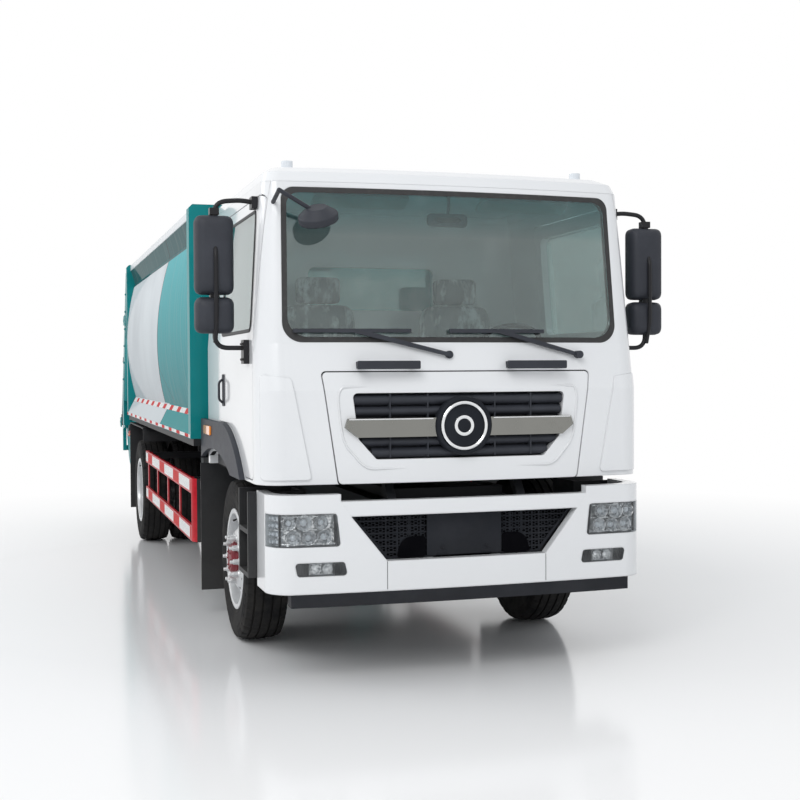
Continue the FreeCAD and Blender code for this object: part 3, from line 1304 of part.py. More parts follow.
def cab_mounts():
    """Forks on the rail ends with the tilt pins, and rubber-topped rests under the cab's rear."""
    parts = []
    for side in (LEFT, RIGHT):
        for end in (-1, 1):
            middle = S.tilt_arm_x * side + (S.tilt_arm_wall / 2 + S.seat_gap + S.bracket_wall / 2) * end
            low, front = S.bumper_beam_high_z + S.seat_gap, along(S.tilt_y)
            fork = plate("YZ", [[
                (front - S.tilt_eye, S.tilt_z), Via(front, S.tilt_z + S.tilt_eye), (front + S.tilt_eye, S.tilt_z),
                (along(S.rail_front_y) - S.seat_gap, S.tilt_z), (along(S.rail_front_y) - S.seat_gap, low),
                (front - S.tilt_eye, low),
            ]], middle - S.bracket_wall / 2, S.bracket_wall)
            parts.append(fork)
        start = S.tilt_arm_x * side - S.tilt_arm_wall / 2 - S.bracket_wall - S.seat_gap
        parts.append(rod("x", (start, along(S.tilt_y), S.tilt_z), S.tilt_pin_radius,
                         S.tilt_arm_wall + (S.bracket_wall + S.seat_gap) * 2))
        x = S.rail_x * side
        half = S.rail_flange / 2
        parts.append(box((x - half, along(S.rest_y), S.rail_high_z),
                         (x + half, along(S.rest_y + S.rest_length), S.cab_low_z - S.seat_gap)))
    node("cab_mounts", fused(*parts))


def arch_flare():
    """The plastic lip round a wheel arch, flat-topped with a curved front fall."""
    outline = flare_edge(0) + [
        (along(S.flare_rear_y), S.arch_rear_z), Via(along(S.arch_crown_y), S.arch_top_z),
        (along(S.arch_front_y), S.cab_low_z),
    ]
    return plate("YZ", [outline], S.cab_half_width + S.seat_gap, S.arch_lip_wall)


def wiper(outer, pivot_x, start_x, end_x):
    """A blade lying on the glass and an arm down to its pivot on the cowl."""
    half = S.blade_width / 2
    level = S.blade_z
    meet = (start_x + end_x) / 2
    blade = [(start_x, level - half), (end_x, level - half), (end_x, level + half), (start_x, level + half)]
    arm = [(pivot_x, S.wiper_pivot_z), (pivot_x, S.wiper_pivot_z + S.blade_width),
           (meet + S.blade_width, level + half), (meet, level - half)]
    layer = cut(placed(outer, (0, -S.blade_lift - S.blade_width, 0)), placed(outer, (0, -S.blade_lift, 0)))
    swept = common(layer, fused(nose_tool(blade), nose_tool(arm)))
    post = rod("y", (pivot_x, along(S.screen_foot_y) - S.blade_lift - S.blade_width,
                     S.wiper_pivot_z + S.blade_width / 2), S.blade_width, S.wiper_post_length)
    return fused(swept, cut(post, outer))


def grab_handle(x):
    """A bar on two feet along the top of the front."""
    front = along(S.cab_front_y)
    level = (S.handle_low_z + S.handle_high_z) / 2
    start, end, radius = x - S.handle_half_length, x + S.handle_half_length, S.handle_round
    bar = plate("XZ", [[
        (start, S.handle_low_z, radius), (end, S.handle_low_z, radius),
        (end, S.handle_high_z, radius), (start, S.handle_high_z, radius),
    ]], front - S.handle_reach, S.handle_wall)
    feet = []
    for end in (-1, 1):
        middle = x + (S.handle_half_length - S.handle_foot) * end
        feet.append(box((middle - S.handle_foot / 2, front - S.handle_reach, S.handle_low_z + S.handle_round / 2),
                        (middle + S.handle_foot / 2, front + S.cab_wall, S.handle_high_z - S.handle_round / 2)))
    return fused(bar, *feet)


def cab_trim(outer):
    """Dark plastic on the cab: arch lips, wipers, front handles and the kerb mirror."""
    pieces = [both(arch_flare())]
    pieces.append(wiper(outer, S.wiper_right_x, S.blade_right_start_x, S.blade_right_end_x))
    pieces.append(wiper(outer, S.wiper_left_x, S.blade_left_start_x, S.blade_left_end_x))
    for side in (LEFT, RIGHT):
        pieces.append(cut(grab_handle(S.handle_x * side), outer))
    pieces.append(cut(kerb_mirror(), outer))
    node("cab_trim", group(*pieces))


def bar_between(start, end, radius):
    """A round bar with ball ends between two points given by sizes."""
    run, across, rise = end[0] - start[0], end[1] - start[1], end[2] - start[2]
    level = hypotenuse(run, across)
    stick = rod_along(radius, hypotenuse(level, rise))
    lean = math.degrees(math.atan2(level.value, rise.value))
    turn = math.degrees(math.atan2(across.value, run.value))
    leaned = placed(stick, (0, 0, 0), ((0, 1, 0), lean))
    ball = document.addObject("Part::Sphere", "ball")
    bind(ball, Radius=radius)
    return fused(placed(leaned, start, ((0, 0, 1), turn)), moved(ball, end))


def kerb_mirror():
    """A domed mirror that looks down in front of the right-hand screen pillar, on a bent tube."""
    tube = S.kerb_tube_radius
    foot = (-S.kerb_foot_x, along(S.door_front_y), S.kerb_foot_z)
    elbow = (-S.kerb_elbow_x, along(S.screen_head_y - S.kerb_elbow_reach), S.kerb_elbow_z)
    centre = (-S.kerb_mirror_x, along(S.kerb_mirror_y), S.kerb_mirror_z)
    top = (-S.kerb_mirror_x, along(S.kerb_mirror_y), S.kerb_mirror_z + S.kerb_mirror_depth / 2)
    dome = turned([[
        (0, 0), (0, S.kerb_mirror_radius, tube), (S.kerb_mirror_depth / 2, S.kerb_mirror_radius, tube),
        (S.kerb_mirror_depth, S.kerb_mirror_radius / 2, tube), (S.kerb_mirror_depth, 0),
    ]])
    upright = placed(dome, (0, 0, 0), ((0, 1, 0), -90))
    head = placed(placed(upright, (0, 0, 0), ((1, 0, 0), KERB_LEAN)), centre, ((0, 0, 1), KERB_TURN))
    return fused(bar_between(foot, elbow, tube), bar_between(elbow, top, tube), head)


KERB_LEAN = 28
KERB_TURN = -30


def roof_lamps():
    seat = (S.roof_lamp_x, along(S.roof_lamp_y), ROOF_TOP + S.seat_gap)
    lamp = rod("z", seat, S.roof_lamp_radius, S.roof_lamp_height)
    node("roof_lamps", both(lamp))


def dashboard():
    """A padded shelf across the cab on the bulkhead, with the column and steering wheel."""
    floor = S.cab_low_z + S.cab_floor_wall + S.seat_gap
    front = along(S.dash_front_y)
    rear = along(S.dash_rear_y)
    outline = [
        (front, floor), (front + S.dash_wall, floor), (front + S.dash_wall, S.dash_low_z),
        (rear, S.dash_low_z + S.dash_wall, S.dash_wall), (rear, S.dash_high_z - S.dash_wall * 2, S.dash_wall),
        (front + S.dash_wall * 2, S.dash_high_z), (front, S.dash_high_z),
    ]
    shelf = plate("YZ", [outline], -S.dash_half_width, S.dash_half_width * 2)
    wheel = document.addObject("Part::Torus", "torus")
    bind(wheel, Radius1=S.steer_rim_radius, Radius2=S.steer_rim_wall)
    spoke_length = S.steer_rim_radius * 2
    spoke = rod("x", (-S.steer_rim_radius, 0, 0), S.steer_rim_wall * SPOKE_SHARE, spoke_length)
    boss = rod("z", (0, 0, -S.steer_boss_length), S.steer_boss_radius, S.steer_boss_length + S.steer_rim_wall)
    column = rod("z", (0, 0, -S.column_length), S.steer_boss_radius * SPOKE_SHARE, S.column_length)
    steering = placed(fused(wheel, spoke, boss, column), (S.seat_x, along(S.steer_y), S.steer_z), ((1, 0, 0), -STEER_LEAN))
    node("dashboard", fused(shelf, steering))


SPOKE_SHARE = 0.7
STEER_LEAN = 40


def seat_cushions():
    """A cushion and a back with a head rest for each seat."""
    pieces = []
    for side in (LEFT, RIGHT):
        x, half, radius = S.seat_x * side, S.seat_half_width, S.seat_round
        low, high = along(S.seat_front_y), along(S.seat_rear_y)
        seat = [(x - half, low, radius), (x + half, low, radius), (x + half, high), (x - half, high)]
        cushion = plate("XY", [seat], S.seat_low_z, S.seat_wall)
        head = half * HEAD_SHARE
        shoulder = S.seat_head_z - S.seat_round * SHOULDER_SHARE
        rest = [(x - half, S.seat_low_z, radius), (x + half, S.seat_low_z, radius), (x + half, shoulder, radius),
                (x + head, shoulder + radius), (x + head, S.seat_head_z, radius), (x - head, S.seat_head_z, radius),
                (x - head, shoulder + radius), (x - half, shoulder, radius)]
        pieces.append(fused(cushion, plate("XZ", [rest], high, S.seat_back_wall)))
    node("seat_cushions", group(*pieces))


HEAD_SHARE = 0.6
SHOULDER_SHARE = 4


def mirror(side, word):
    """Two housings on a bent tube with feet on the door, and the door's handle."""
    outer_x = (S.cab_half_width + S.mirror_reach) * side
    foot_x = S.cab_half_width * side
    top_foot = (S.cab_half_width - S.mirror_top_inset) * side
    y = along(S.mirror_y)
    tube = S.mirror_tube_radius
    parts = [rod("z", (outer_x, y, S.mirror_low_z), tube, S.mirror_high_z - S.mirror_low_z)]
    for level, inner in ((S.mirror_low_z, foot_x), (S.mirror_high_z, top_foot)):
        start = outer_x if side == RIGHT else inner
        length = (outer_x - inner) * side
        parts.append(rod("x", (start, y, level), tube, length))
        ball = document.addObject("Part::Sphere", "ball")
        bind(ball, Radius=tube)
        parts.append(moved(ball, (outer_x, y, level)))
    half = S.mirror_half_width
    radius = S.mirror_round
    for low, high in ((S.main_mirror_low_z, S.main_mirror_high_z), (S.wide_mirror_low_z, S.wide_mirror_high_z)):
        outline = [(outer_x - half, low, radius), (outer_x + half, low, radius),
                   (outer_x + half, high, radius), (outer_x - half, high, radius)]
        parts.append(plate("XZ", [outline], y - S.mirror_depth / 2, S.mirror_depth))
    foot_in = foot_x - S.mirror_foot_wall * (1 if side == RIGHT else 0)
    parts.append(box((foot_in, y - S.mirror_foot / 2, S.mirror_low_z - S.mirror_foot),
                     (foot_in + S.mirror_foot_wall, y + S.mirror_foot / 2, S.mirror_low_z + S.mirror_foot / 2)))
    low_x = foot_x if side == LEFT else foot_x - S.handle_wall
    grip = plate("YZ", [[
        (along(S.grip_y), S.grip_low_z, S.handle_round), (along(S.grip_y + S.grip_width), S.grip_low_z, S.handle_round),
        (along(S.grip_y + S.grip_width), S.grip_high_z, S.handle_round), (along(S.grip_y), S.grip_high_z, S.handle_round),
    ]], low_x + S.seat_gap * side, S.handle_wall)
    node("mirror_" + word, group(fused(*parts), grip))


def body_panel(profile, mirror_it=True):
    """A long panel of the load space, from the front frame to the rear frame."""
    start = along(S.body_front_y + S.front_frame_depth) + S.seat_gap
    length = S.body_rear_y - S.rear_frame_depth - S.body_front_y - S.front_frame_depth - S.seat_gap * 2
    item = plate("XZ", [profile], start, length)
    return both(item) if mirror_it else item


def body_floor():
    """The load space's floor on bearers and two long members that lie on the frame rails."""
    start, end = along(S.body_front_y), along(S.body_rear_y)
    half, top = S.body_half_width - S.floor_inset, S.body_low_z
    parts = [box((-half, start, top - S.floor_wall), (half, end, top))]
    for side in (LEFT, RIGHT):
        x = S.rail_x * side - S.rail_flange / 2
        parts.append(box((x, start + S.member_inset, S.rail_high_z),
                         (x + S.rail_flange, end - S.member_inset, top - S.floor_wall)))
    for index in range(BEARER_COUNT):
        place = start + S.member_inset * 2 + (end - start - S.member_inset * 4) * (index / (BEARER_COUNT - 1))
        parts.append(box((-S.bearer_half_width, place - S.bearer_width / 2, top - S.floor_wall - S.bearer_height),
                         (S.bearer_half_width, place + S.bearer_width / 2, top - S.floor_wall)))
    node("body_floor", fused(*parts))


BEARER_COUNT = 7


def body_sides():
    """The bulging side walls."""
    low, high = S.side_low_z, S.side_high_z
    waist, edge, wall = S.body_half_width, S.side_edge_x, S.body_wall
    middle = (low + high) / 2
    node("body_sides", body_panel([
        (edge, low), Via(waist, middle), (edge, high), (edge - wall, high), Via(waist - wall, middle), (edge - wall, low),
    ]))


def body_rails():
    """Sloping sill boards below the side walls and sloping rails above them."""
    wall, edge, gap = S.body_wall, S.side_edge_x, S.seat_gap
    sill = [(S.body_half_width, S.body_low_z + gap), (S.body_half_width, S.body_low_z + S.sill_lip),
            (edge, S.side_low_z - gap), (edge - wall, S.side_low_z - gap), (edge - wall, S.body_low_z + gap)]
    rail = [(edge, S.side_high_z + gap), (S.roof_edge_x, S.rail_top_z), (S.roof_edge_x - wall, S.rail_top_z),
            (edge - wall, S.side_high_z + gap)]
    node("body_rails", group(body_panel(sill), body_panel(rail)))


def body_roof():
    low, wall = S.rail_top_z + S.seat_gap, S.body_wall
    half = S.roof_edge_x
    node("body_roof", body_panel([
        (-half, low), (half, low), (half, low + wall / 2), Via(0, S.roof_crown_z), (-half, low + wall / 2),
    ], mirror_it=False))


def frame_ring(start, depth, low, high, post, pocket):
    """A rectangular frame across the body: open, or with a thin wall left at its back."""
    half = S.body_half_width
    whole = plate("XZ", [[
        (-half, low), (half, low), (half, high - S.frame_chamfer), (half - S.frame_chamfer, high),
        (S.frame_chamfer - half, high), (-half, high - S.frame_chamfer),
    ]], start, depth)
    inner = half - post
    hole = box((-inner, start - S.cut_overrun, low + post * SILL_SHARE), (inner, start + pocket, high - post))
    return cut(whole, hole)


SILL_SHARE = 0.35


def body_frames():
    """The teal front frame with its closed wall, and the open rear frame with the tail's hinge ears."""
    gap = S.seat_gap
    front = frame_ring(along(S.body_front_y), S.front_frame_depth, S.body_low_z + gap, S.frame_high_z, S.post_width,
                       S.front_frame_depth - S.front_wall)
    rear_start = along(S.body_rear_y - S.rear_frame_depth)
    rear = frame_ring(rear_start, S.rear_frame_depth, S.body_low_z + gap, S.frame_high_z, S.rear_post_width,
                      S.rear_frame_depth + S.cut_overrun)
    parts = [rear]
    for side in (LEFT, RIGHT):
        for end in (-1, 1):
            middle = S.hinge_x * side + (S.hinge_ear_wall + gap) * end
            parts.append(plate("YZ", [[
                (rear_start, S.frame_high_z - S.hinge_eye),
                (along(S.hinge_y - S.hinge_eye / 2), S.frame_high_z - S.hinge_eye),
                (along(S.hinge_y + S.hinge_eye), S.hinge_z), Via(along(S.hinge_y), S.hinge_z + S.hinge_eye),
                (along(S.hinge_y - S.hinge_eye), S.hinge_z),
            ]], middle - S.hinge_ear_wall / 2, S.hinge_ear_wall))
        reach = S.hinge_ear_wall + S.hinge_ear_wall / 2 + gap
        parts.append(rod("x", (S.hinge_x * side - reach, along(S.hinge_y), S.hinge_z), S.hinge_pin_radius, reach * 2))
        parts.append(barrel_bracket(side))
    node("body_frames", group(front, fused(*parts)))


def barrel_bracket(side):
    """The ear on the rear frame that a lifting cylinder's foot turns on."""
    reach = S.lift_foot_y - S.body_rear_y
    x = S.lift_x * side
    low = S.lift_foot_z - S.lift_eye
    parts = []
    for end in (-1, 1):
        middle = x + (S.lift_foot_width / 2 + S.seat_gap + S.hinge_ear_wall / 4) * end
        parts.append(box((middle - S.hinge_ear_wall / 4, along(S.body_rear_y) - S.cut_overrun, low),
                         (middle + S.hinge_ear_wall / 4, along(S.body_rear_y) + reach + S.lift_eye, low + S.lift_eye * 2)))
    pin_start = x - S.lift_foot_width / 2 - S.seat_gap - S.hinge_ear_wall / 4
    parts.append(rod("x", (pin_start, along(S.lift_foot_y), S.lift_foot_z), S.lift_pin_radius,
                     S.lift_foot_width + S.seat_gap * 2 + S.hinge_ear_wall / 2))
    return fused(*parts)


def tailgate():
    """The tail: two side plates, the sloping back and the hinge ears; the hopper's trough is its own piece."""
    front = along(S.body_rear_y) + S.tail_gap
    out, wall = S.tail_out_x, S.tail_wall
    lip_y, lip_z = along(S.hopper_lip_y), S.hopper_lip_z
    side = [
        (front, S.tail_front_low_z), (front, S.tail_top_z), (along(S.tail_top_y), S.tail_top_z),
        (along(S.tail_knee_y), S.tail_knee_z), (lip_y, lip_z + S.tail_wall), (lip_y, lip_z - S.tail_wall),
        Via(along(S.trough_y), S.trough_z - S.trough_wall - S.tail_margin),
    ]
    slot = [
        (along(S.slot_high_y), S.slot_high_z), (along(S.slot_high_y) + S.slot_width, S.slot_high_z),
        (along(S.slot_low_y) + S.slot_width, S.slot_low_z), (along(S.slot_low_y), S.slot_low_z),
    ]
    slot_tool = plate("YZ", [slot], out - wall - S.cut_overrun, wall + S.cut_overrun * 2)
    panel = cut(plate("YZ", [side], out - wall, wall), slot_tool)
    plates = [panel, mirrored(panel)]
    back = plate("YZ", [[
        (along(S.tail_top_y), S.tail_top_z), (along(S.cover_foot_y), S.cover_foot_z),
        (along(S.cover_foot_y) - S.cover_wall, S.cover_foot_z), (along(S.tail_top_y) - S.cover_wall, S.tail_top_z - S.cover_wall * 2),
        (front, S.tail_top_z - S.cover_wall), (front, S.tail_top_z),
    ]], -out + wall / 2, (out - wall / 2) * 2)
    ears = []
    for way in (LEFT, RIGHT):
        ear = plate("YZ", [[
            (along(S.hinge_y - S.hinge_eye), S.hinge_z), Via(along(S.hinge_y), S.hinge_z + S.hinge_eye),
            (along(S.hinge_y + S.hinge_eye), S.hinge_z),
            (along(S.hinge_y + S.hinge_eye * 4), S.tail_top_z - S.cover_wall / 2), (front, S.tail_top_z - S.cover_wall / 2),
            (along(S.hinge_y), S.hinge_z - S.hinge_eye),
        ]], S.hinge_x * way - S.hinge_ear_wall / 2, S.hinge_ear_wall)
        bore = rod("x", (S.hinge_x * way - S.hinge_ear_wall, along(S.hinge_y), S.hinge_z),
                   S.hinge_pin_radius + S.seat_gap, S.hinge_ear_wall * 2)
        ears.append(cut(ear, bore))
    pins = []
    for way in (LEFT, RIGHT):
        x = out - wall / 2 if way == LEFT else -out - S.lifter_wall
        pins.append(rod("x", (x, along(S.lifter_y), S.lifter_z), S.lifter_pin_radius, S.lifter_wall + wall / 2))
    node("tailgate_shell", fused(*plates, back, *ears, *pins, *packer_barrels()))
    trough = [
        (front, S.trough_front_z), Via(along(S.trough_y), S.trough_z), (lip_y, lip_z), (lip_y, lip_z - S.trough_wall),
        Via(along(S.trough_y), S.trough_z - S.trough_wall), (front, S.trough_front_z - S.trough_wall),
    ]
    half = out - wall - S.seat_gap
    node("hopper_trough", plate("YZ", [trough], -half, half * 2))


def slope():
    """Angle of the packer's slide above the horizontal, in degrees."""
    rise = S.slot_high_z.value - S.slot_low_z.value
    run = S.slot_low_y.value - S.slot_high_y.value
    return math.degrees(math.atan2(rise, run))


def on_slope(item):
    """Put what was made about the blade's pin, upright, onto the packer's sloping slide."""
    return placed(item, (0, along(S.blade_y), S.blade_pivot_z), ((1, 0, 0), 90 - slope()))


def packer_barrels():
    """A cylinder on the outside of each side plate, in line with the packer's slide, on a bracket."""
    parts = []
    for side in (LEFT, RIGHT):
        tube = moved(rod_along(S.barrel_radius, S.packer_barrel_length), (S.packer_x * side, 0, -S.barrel_foot))
        bore = moved(rod_along(S.barrel_bore, S.packer_barrel_length),
                     (S.packer_x * side, 0, S.barrel_radius - S.barrel_foot))
        inner = S.tail_out_x - S.tail_wall / 2
        start = inner if side == LEFT else -S.packer_x
        bracket = box((start, -S.barrel_radius, -S.barrel_foot),
                      (start + S.packer_x - inner, S.barrel_radius, S.barrel_radius - S.barrel_foot))
        parts.append(on_slope(cut(fused(tube, bracket), bore)))
    return parts


def packer_rods():
    """A rod on each side with a pin through the slot in the side plate to the panel."""
    parts = []
    start = S.rod_hidden - S.barrel_foot
    for side in (LEFT, RIGHT):
        parts.append(moved(rod_along(S.packer_rod_radius, S.packer_pin_up - start), (S.packer_x * side, 0, start)))
        reach = S.packer_x - S.tail_out_x + S.tail_wall * 2
        x = S.packer_x - reach if side == LEFT else -S.packer_x
        parts.append(rod("x", (x, 0, S.packer_pin_up), S.packer_rod_radius, reach))
    return parts


def rod_along(radius, length):
    item = document.addObject("Part::Cylinder", "rod")
    return bind(item, Radius=radius, Height=length)


def packer():
    """The sliding panel behind the back cover, its rods, and the sweep blade hinged on its foot."""
    half = S.tail_out_x - S.tail_wall - S.moving_gap
    foot = (0, along(S.blade_y), S.blade_pivot_z)
    panel = box((-half, -S.panel_wall / 2, S.blade_eye + S.moving_gap), (half, S.panel_wall / 2, S.panel_length))
    parts = [panel] + packer_rods()
    for share in KNUCKLE_SHARES:
        x = half * share
        parts.append(rod("x", (x - S.knuckle_half, 0, 0), S.blade_eye, S.knuckle_half * 2))
        parts.append(box((x - S.knuckle_half, -S.panel_wall / 2, 0),
                         (x + S.knuckle_half, S.panel_wall / 2, S.blade_eye + S.moving_gap * 2)))
    parts.append(rod("x", (-half * KNUCKLE_SHARES[-1], 0, 0), S.blade_pin_radius, half * KNUCKLE_SHARES[-1] * 2))
    node("packer_panel", on_slope(fused(*parts)))
    blade = plate("YZ", [[
        (-S.blade_root, 0), Via(0, S.blade_root), (S.blade_root, 0), (S.blade_root, -S.blade_length / 2),
        (-S.blade_hook, -S.blade_length), (-S.blade_hook - S.blade_wall, -S.blade_length + S.blade_wall),
        (-S.blade_root, -S.blade_length / 2),
    ]], -half, half * 2)
    gaps = [rod("x", (-half - S.cut_overrun, 0, 0), S.blade_pin_radius + S.seat_gap, (half + S.cut_overrun) * 2)]
    for share in KNUCKLE_SHARES:
        x = half * share
        gaps.append(rod("x", (x - S.knuckle_half - S.moving_gap, 0, 0), S.blade_clear, (S.knuckle_half + S.moving_gap) * 2))
    node("packer_blade", placed(cut(blade, *gaps), foot))


KNUCKLE_SHARES = (-0.85, 0, 0.85)


def lift_cylinders():
    """The two cylinders that raise the tail: barrels on the body, rods that end beside the tail's plates."""
    lean = ((1, 0, 0), -lift_lean())
    barrels, rods = [], []
    length = hypotenuse(S.lift_head_y - S.lift_foot_y, S.lift_head_z - S.lift_foot_z)
    for side in (LEFT, RIGHT):
        foot = (S.lift_x * side, along(S.lift_foot_y), S.lift_foot_z)
        eye = rod("x", (-S.lift_foot_width / 2, 0, 0), S.lift_eye, S.lift_foot_width)
        neck = rod_along(S.lift_foot_width * NECK_SHARE, S.lift_eye + S.moving_gap * 2)
        tube = moved(rod_along(S.lift_barrel_radius, S.lift_barrel_length), (0, 0, S.lift_eye + S.moving_gap))
        pin_hole = rod("x", (-S.lift_foot_width, 0, 0), S.lift_pin_radius + S.seat_gap, S.lift_foot_width * 2)
        hollow = moved(rod_along(S.lift_rod_radius + S.seat_gap, S.lift_barrel_length), (0, 0, S.lift_eye * 2))
        barrels.append(placed(cut(fused(eye, neck, tube), pin_hole, hollow), foot, lean))
        stick = moved(rod_along(S.lift_rod_radius, length - S.lift_eye * 3), (0, 0, S.lift_eye * 3))
        inner = S.lift_x - S.tail_out_x - S.seat_gap
        reach = -inner if side == LEFT else 0 - S.lift_eye / 2
        head = rod("x", (reach, 0, length), S.lift_eye, inner + S.lift_eye / 2)
        rods.append(placed(fused(stick, head), foot, lean))
    node("lift_barrels", group(*barrels))
    node("lift_rods", group(*rods))


NECK_SHARE = 0.42


def lift_lean():
    """Backward lean of the closed lifting cylinder from upright, in degrees."""
    rise = S.lift_head_z.value - S.lift_foot_z.value
    run = S.lift_head_y.value - S.lift_foot_y.value
    return math.degrees(math.atan2(run, rise))


def bin_lifter():
    """A comb across the tail's lip on two arms beside the hopper."""
    parts = []
    pivot = (along(S.lifter_y), S.lifter_z)
    back = along(S.lifter_back_y)
    eye = S.lifter_eye
    for side in (LEFT, RIGHT):
        x = (S.tail_out_x + S.seat_gap) if side == LEFT else -S.tail_out_x - S.seat_gap - S.lifter_wall
        parts.append(plate("YZ", [[
            (pivot[0] - eye, pivot[1]), Via(pivot[0], pivot[1] + eye), (pivot[0] + eye, pivot[1]),
            (back, S.comb_high_z), (back, S.comb_low_z), (back - S.comb_depth, S.comb_low_z),
            (back - S.comb_depth, S.comb_high_z - eye),
        ]], x, S.lifter_wall))
    reach = S.tail_out_x + S.seat_gap
    parts.append(box((-reach, back - S.comb_depth / 2, S.comb_low_z), (reach, back, S.comb_low_z + S.comb_depth)))
    parts.append(box((-S.comb_half_width, back - S.comb_depth / 3, S.comb_low_z), (S.comb_half_width, back, S.comb_high_z)))
    hole_reach = S.tail_out_x + S.lifter_wall * 2
    hole = rod("x", (-hole_reach, pivot[0], pivot[1]), S.lifter_pin_radius + S.seat_gap, hole_reach * 2)
    node("bin_lifter", cut(fused(*parts), hole))


def check_objects():
    """Stop if any object has failed or any sub-part has no valid shape."""
    bad = [item.Name for item in document.Objects if "Invalid" in item.State or "Error" in item.State]
    bad += [item.Label for item in NODES if item.Shape.isNull() or not item.Shape.isValid() or not item.Shape.Solids]
    if bad:
        raise RuntimeError("failed: " + ", ".join(bad))


def main():
    front_axle()
    knuckles()
    front_wheels()
    rear_axle()
    rear_wheels()
    leaf_springs()
    frame_rails()
    engine_block()
    side_equipment()
    side_guards()
    front_mudflaps()
    rear_fenders()
    underrun_bar()
    bumper()
    bumper_trim()
    cab_steps()
    cab_mounts()
    cab()
    roof_lamps()
    dashboard()
    seat_cushions()
    for side, word in SIDES:
        mirror(side, word)
    body_floor()
    body_sides()
    body_rails()
    body_roof()
    body_frames()
    tailgate()
    packer()
    lift_cylinders()
    bin_lifter()
    document.recompute()
    check_objects()
    os.makedirs("parts", exist_ok=True)
    for item in NODES:
        item.Shape.exportStep("parts/%s.step" % item.Label)


main()
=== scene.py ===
import json
import math
from functools import partial

import bmesh
import bpy
from mathutils import Matrix, Vector
from mathutils.bvhtree import BVHTree


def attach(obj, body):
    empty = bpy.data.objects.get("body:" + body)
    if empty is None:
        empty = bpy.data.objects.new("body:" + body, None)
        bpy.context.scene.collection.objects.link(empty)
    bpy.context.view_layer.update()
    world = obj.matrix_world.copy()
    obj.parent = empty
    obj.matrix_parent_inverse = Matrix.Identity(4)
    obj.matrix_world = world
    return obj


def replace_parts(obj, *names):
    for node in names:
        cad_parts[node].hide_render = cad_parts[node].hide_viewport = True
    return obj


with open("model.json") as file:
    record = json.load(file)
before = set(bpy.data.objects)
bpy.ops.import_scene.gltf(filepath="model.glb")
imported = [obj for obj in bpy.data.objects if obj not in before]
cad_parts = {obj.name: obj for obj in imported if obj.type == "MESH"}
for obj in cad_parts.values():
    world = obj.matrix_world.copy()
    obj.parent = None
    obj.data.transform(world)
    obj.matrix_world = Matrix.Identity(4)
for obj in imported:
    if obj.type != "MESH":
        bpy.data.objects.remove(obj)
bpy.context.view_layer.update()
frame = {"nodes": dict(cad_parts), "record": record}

# Places are in metres. AXLE turns a place behind the front axle into one in the model's frame.
AXLE = -3.085
REAR_AXLE = 5.0
HUB_HEIGHT = 0.51
BODY_FRONT, BODY_REAR = 0.885, 5.935
LEFT, RIGHT = 1, -1
SIDES = ((LEFT, "left"), (RIGHT, "right"))


# Camera

CAMERA_PLACE = (-2.391, -7.986 + AXLE, 1.709)
CAMERA_TURN = {"heading": 0.2949, "pitch": -0.0236, "roll": -0.0055}
CAMERA_LENS, CAMERA_SENSOR = 56.57, 36


def place_camera():
    """The photograph's standpoint: ahead of the right corner, at eye height."""
    heading, pitch, roll = CAMERA_TURN["heading"], CAMERA_TURN["pitch"], CAMERA_TURN["roll"]
    ahead = Vector((math.sin(heading) * math.cos(pitch), math.cos(heading) * math.cos(pitch), math.sin(pitch)))
    across = ahead.cross(Vector((0, 0, 1))).normalized()
    up = across.cross(ahead)
    right = across * math.cos(roll) + up * math.sin(roll)
    above = up * math.cos(roll) - across * math.sin(roll)
    data = bpy.data.cameras.new("photo_camera")
    data.sensor_width = CAMERA_SENSOR
    data.lens = CAMERA_LENS
    camera = bpy.data.objects.new("photo_camera", data)
    turn = Matrix((right, above, -ahead)).transposed().to_4x4()
    camera.matrix_world = Matrix.Translation(CAMERA_PLACE) @ turn
    bpy.context.collection.objects.link(camera)
    bpy.context.scene.camera = camera


# Shader helpers

class Wire:
    """A node's output that Python arithmetic can use; every operation adds a Math node."""

    def __init__(self, paint, socket):
        self.paint = paint
        self.socket = socket

    def math(self, operation, *values):
        return self.paint.node("ShaderNodeMath", {"operation": operation}, dict(enumerate(values)))["Value"]

    def __add__(self, other):
        return self.math("ADD", self, other)

    def __sub__(self, other):
        return self.math("SUBTRACT", self, other)

    def __rsub__(self, other):
        return self.math("SUBTRACT", other, self)

    def __mul__(self, other):
        return self.math("MULTIPLY", self, other)

    __radd__ = __add__
    __rmul__ = __mul__

    def __pow__(self, other):
        return self.math("POWER", self, other)

    def __mod__(self, other):
        return self.math("FLOORED_MODULO", self, other)

    def __abs__(self):
        return self.math("ABSOLUTE", self)

    def __lt__(self, other):
        return self.math("LESS_THAN", self, other)

    def __gt__(self, other):
        return self.math("GREATER_THAN", self, other)

    def least(self, other):
        return self.math("MINIMUM", self, other)

    def most(self, other):
        return self.math("MAXIMUM", self, other)


class Outputs:
    """A node's outputs by name."""

    def __init__(self, paint, item):
        self.paint = paint
        self.item = item

    def __getitem__(self, name):
        return Wire(self.paint, self.item.outputs[name])

    def colour(self):
        return Wire(self.paint, [out for out in self.item.outputs if out.type == "RGBA"][0])


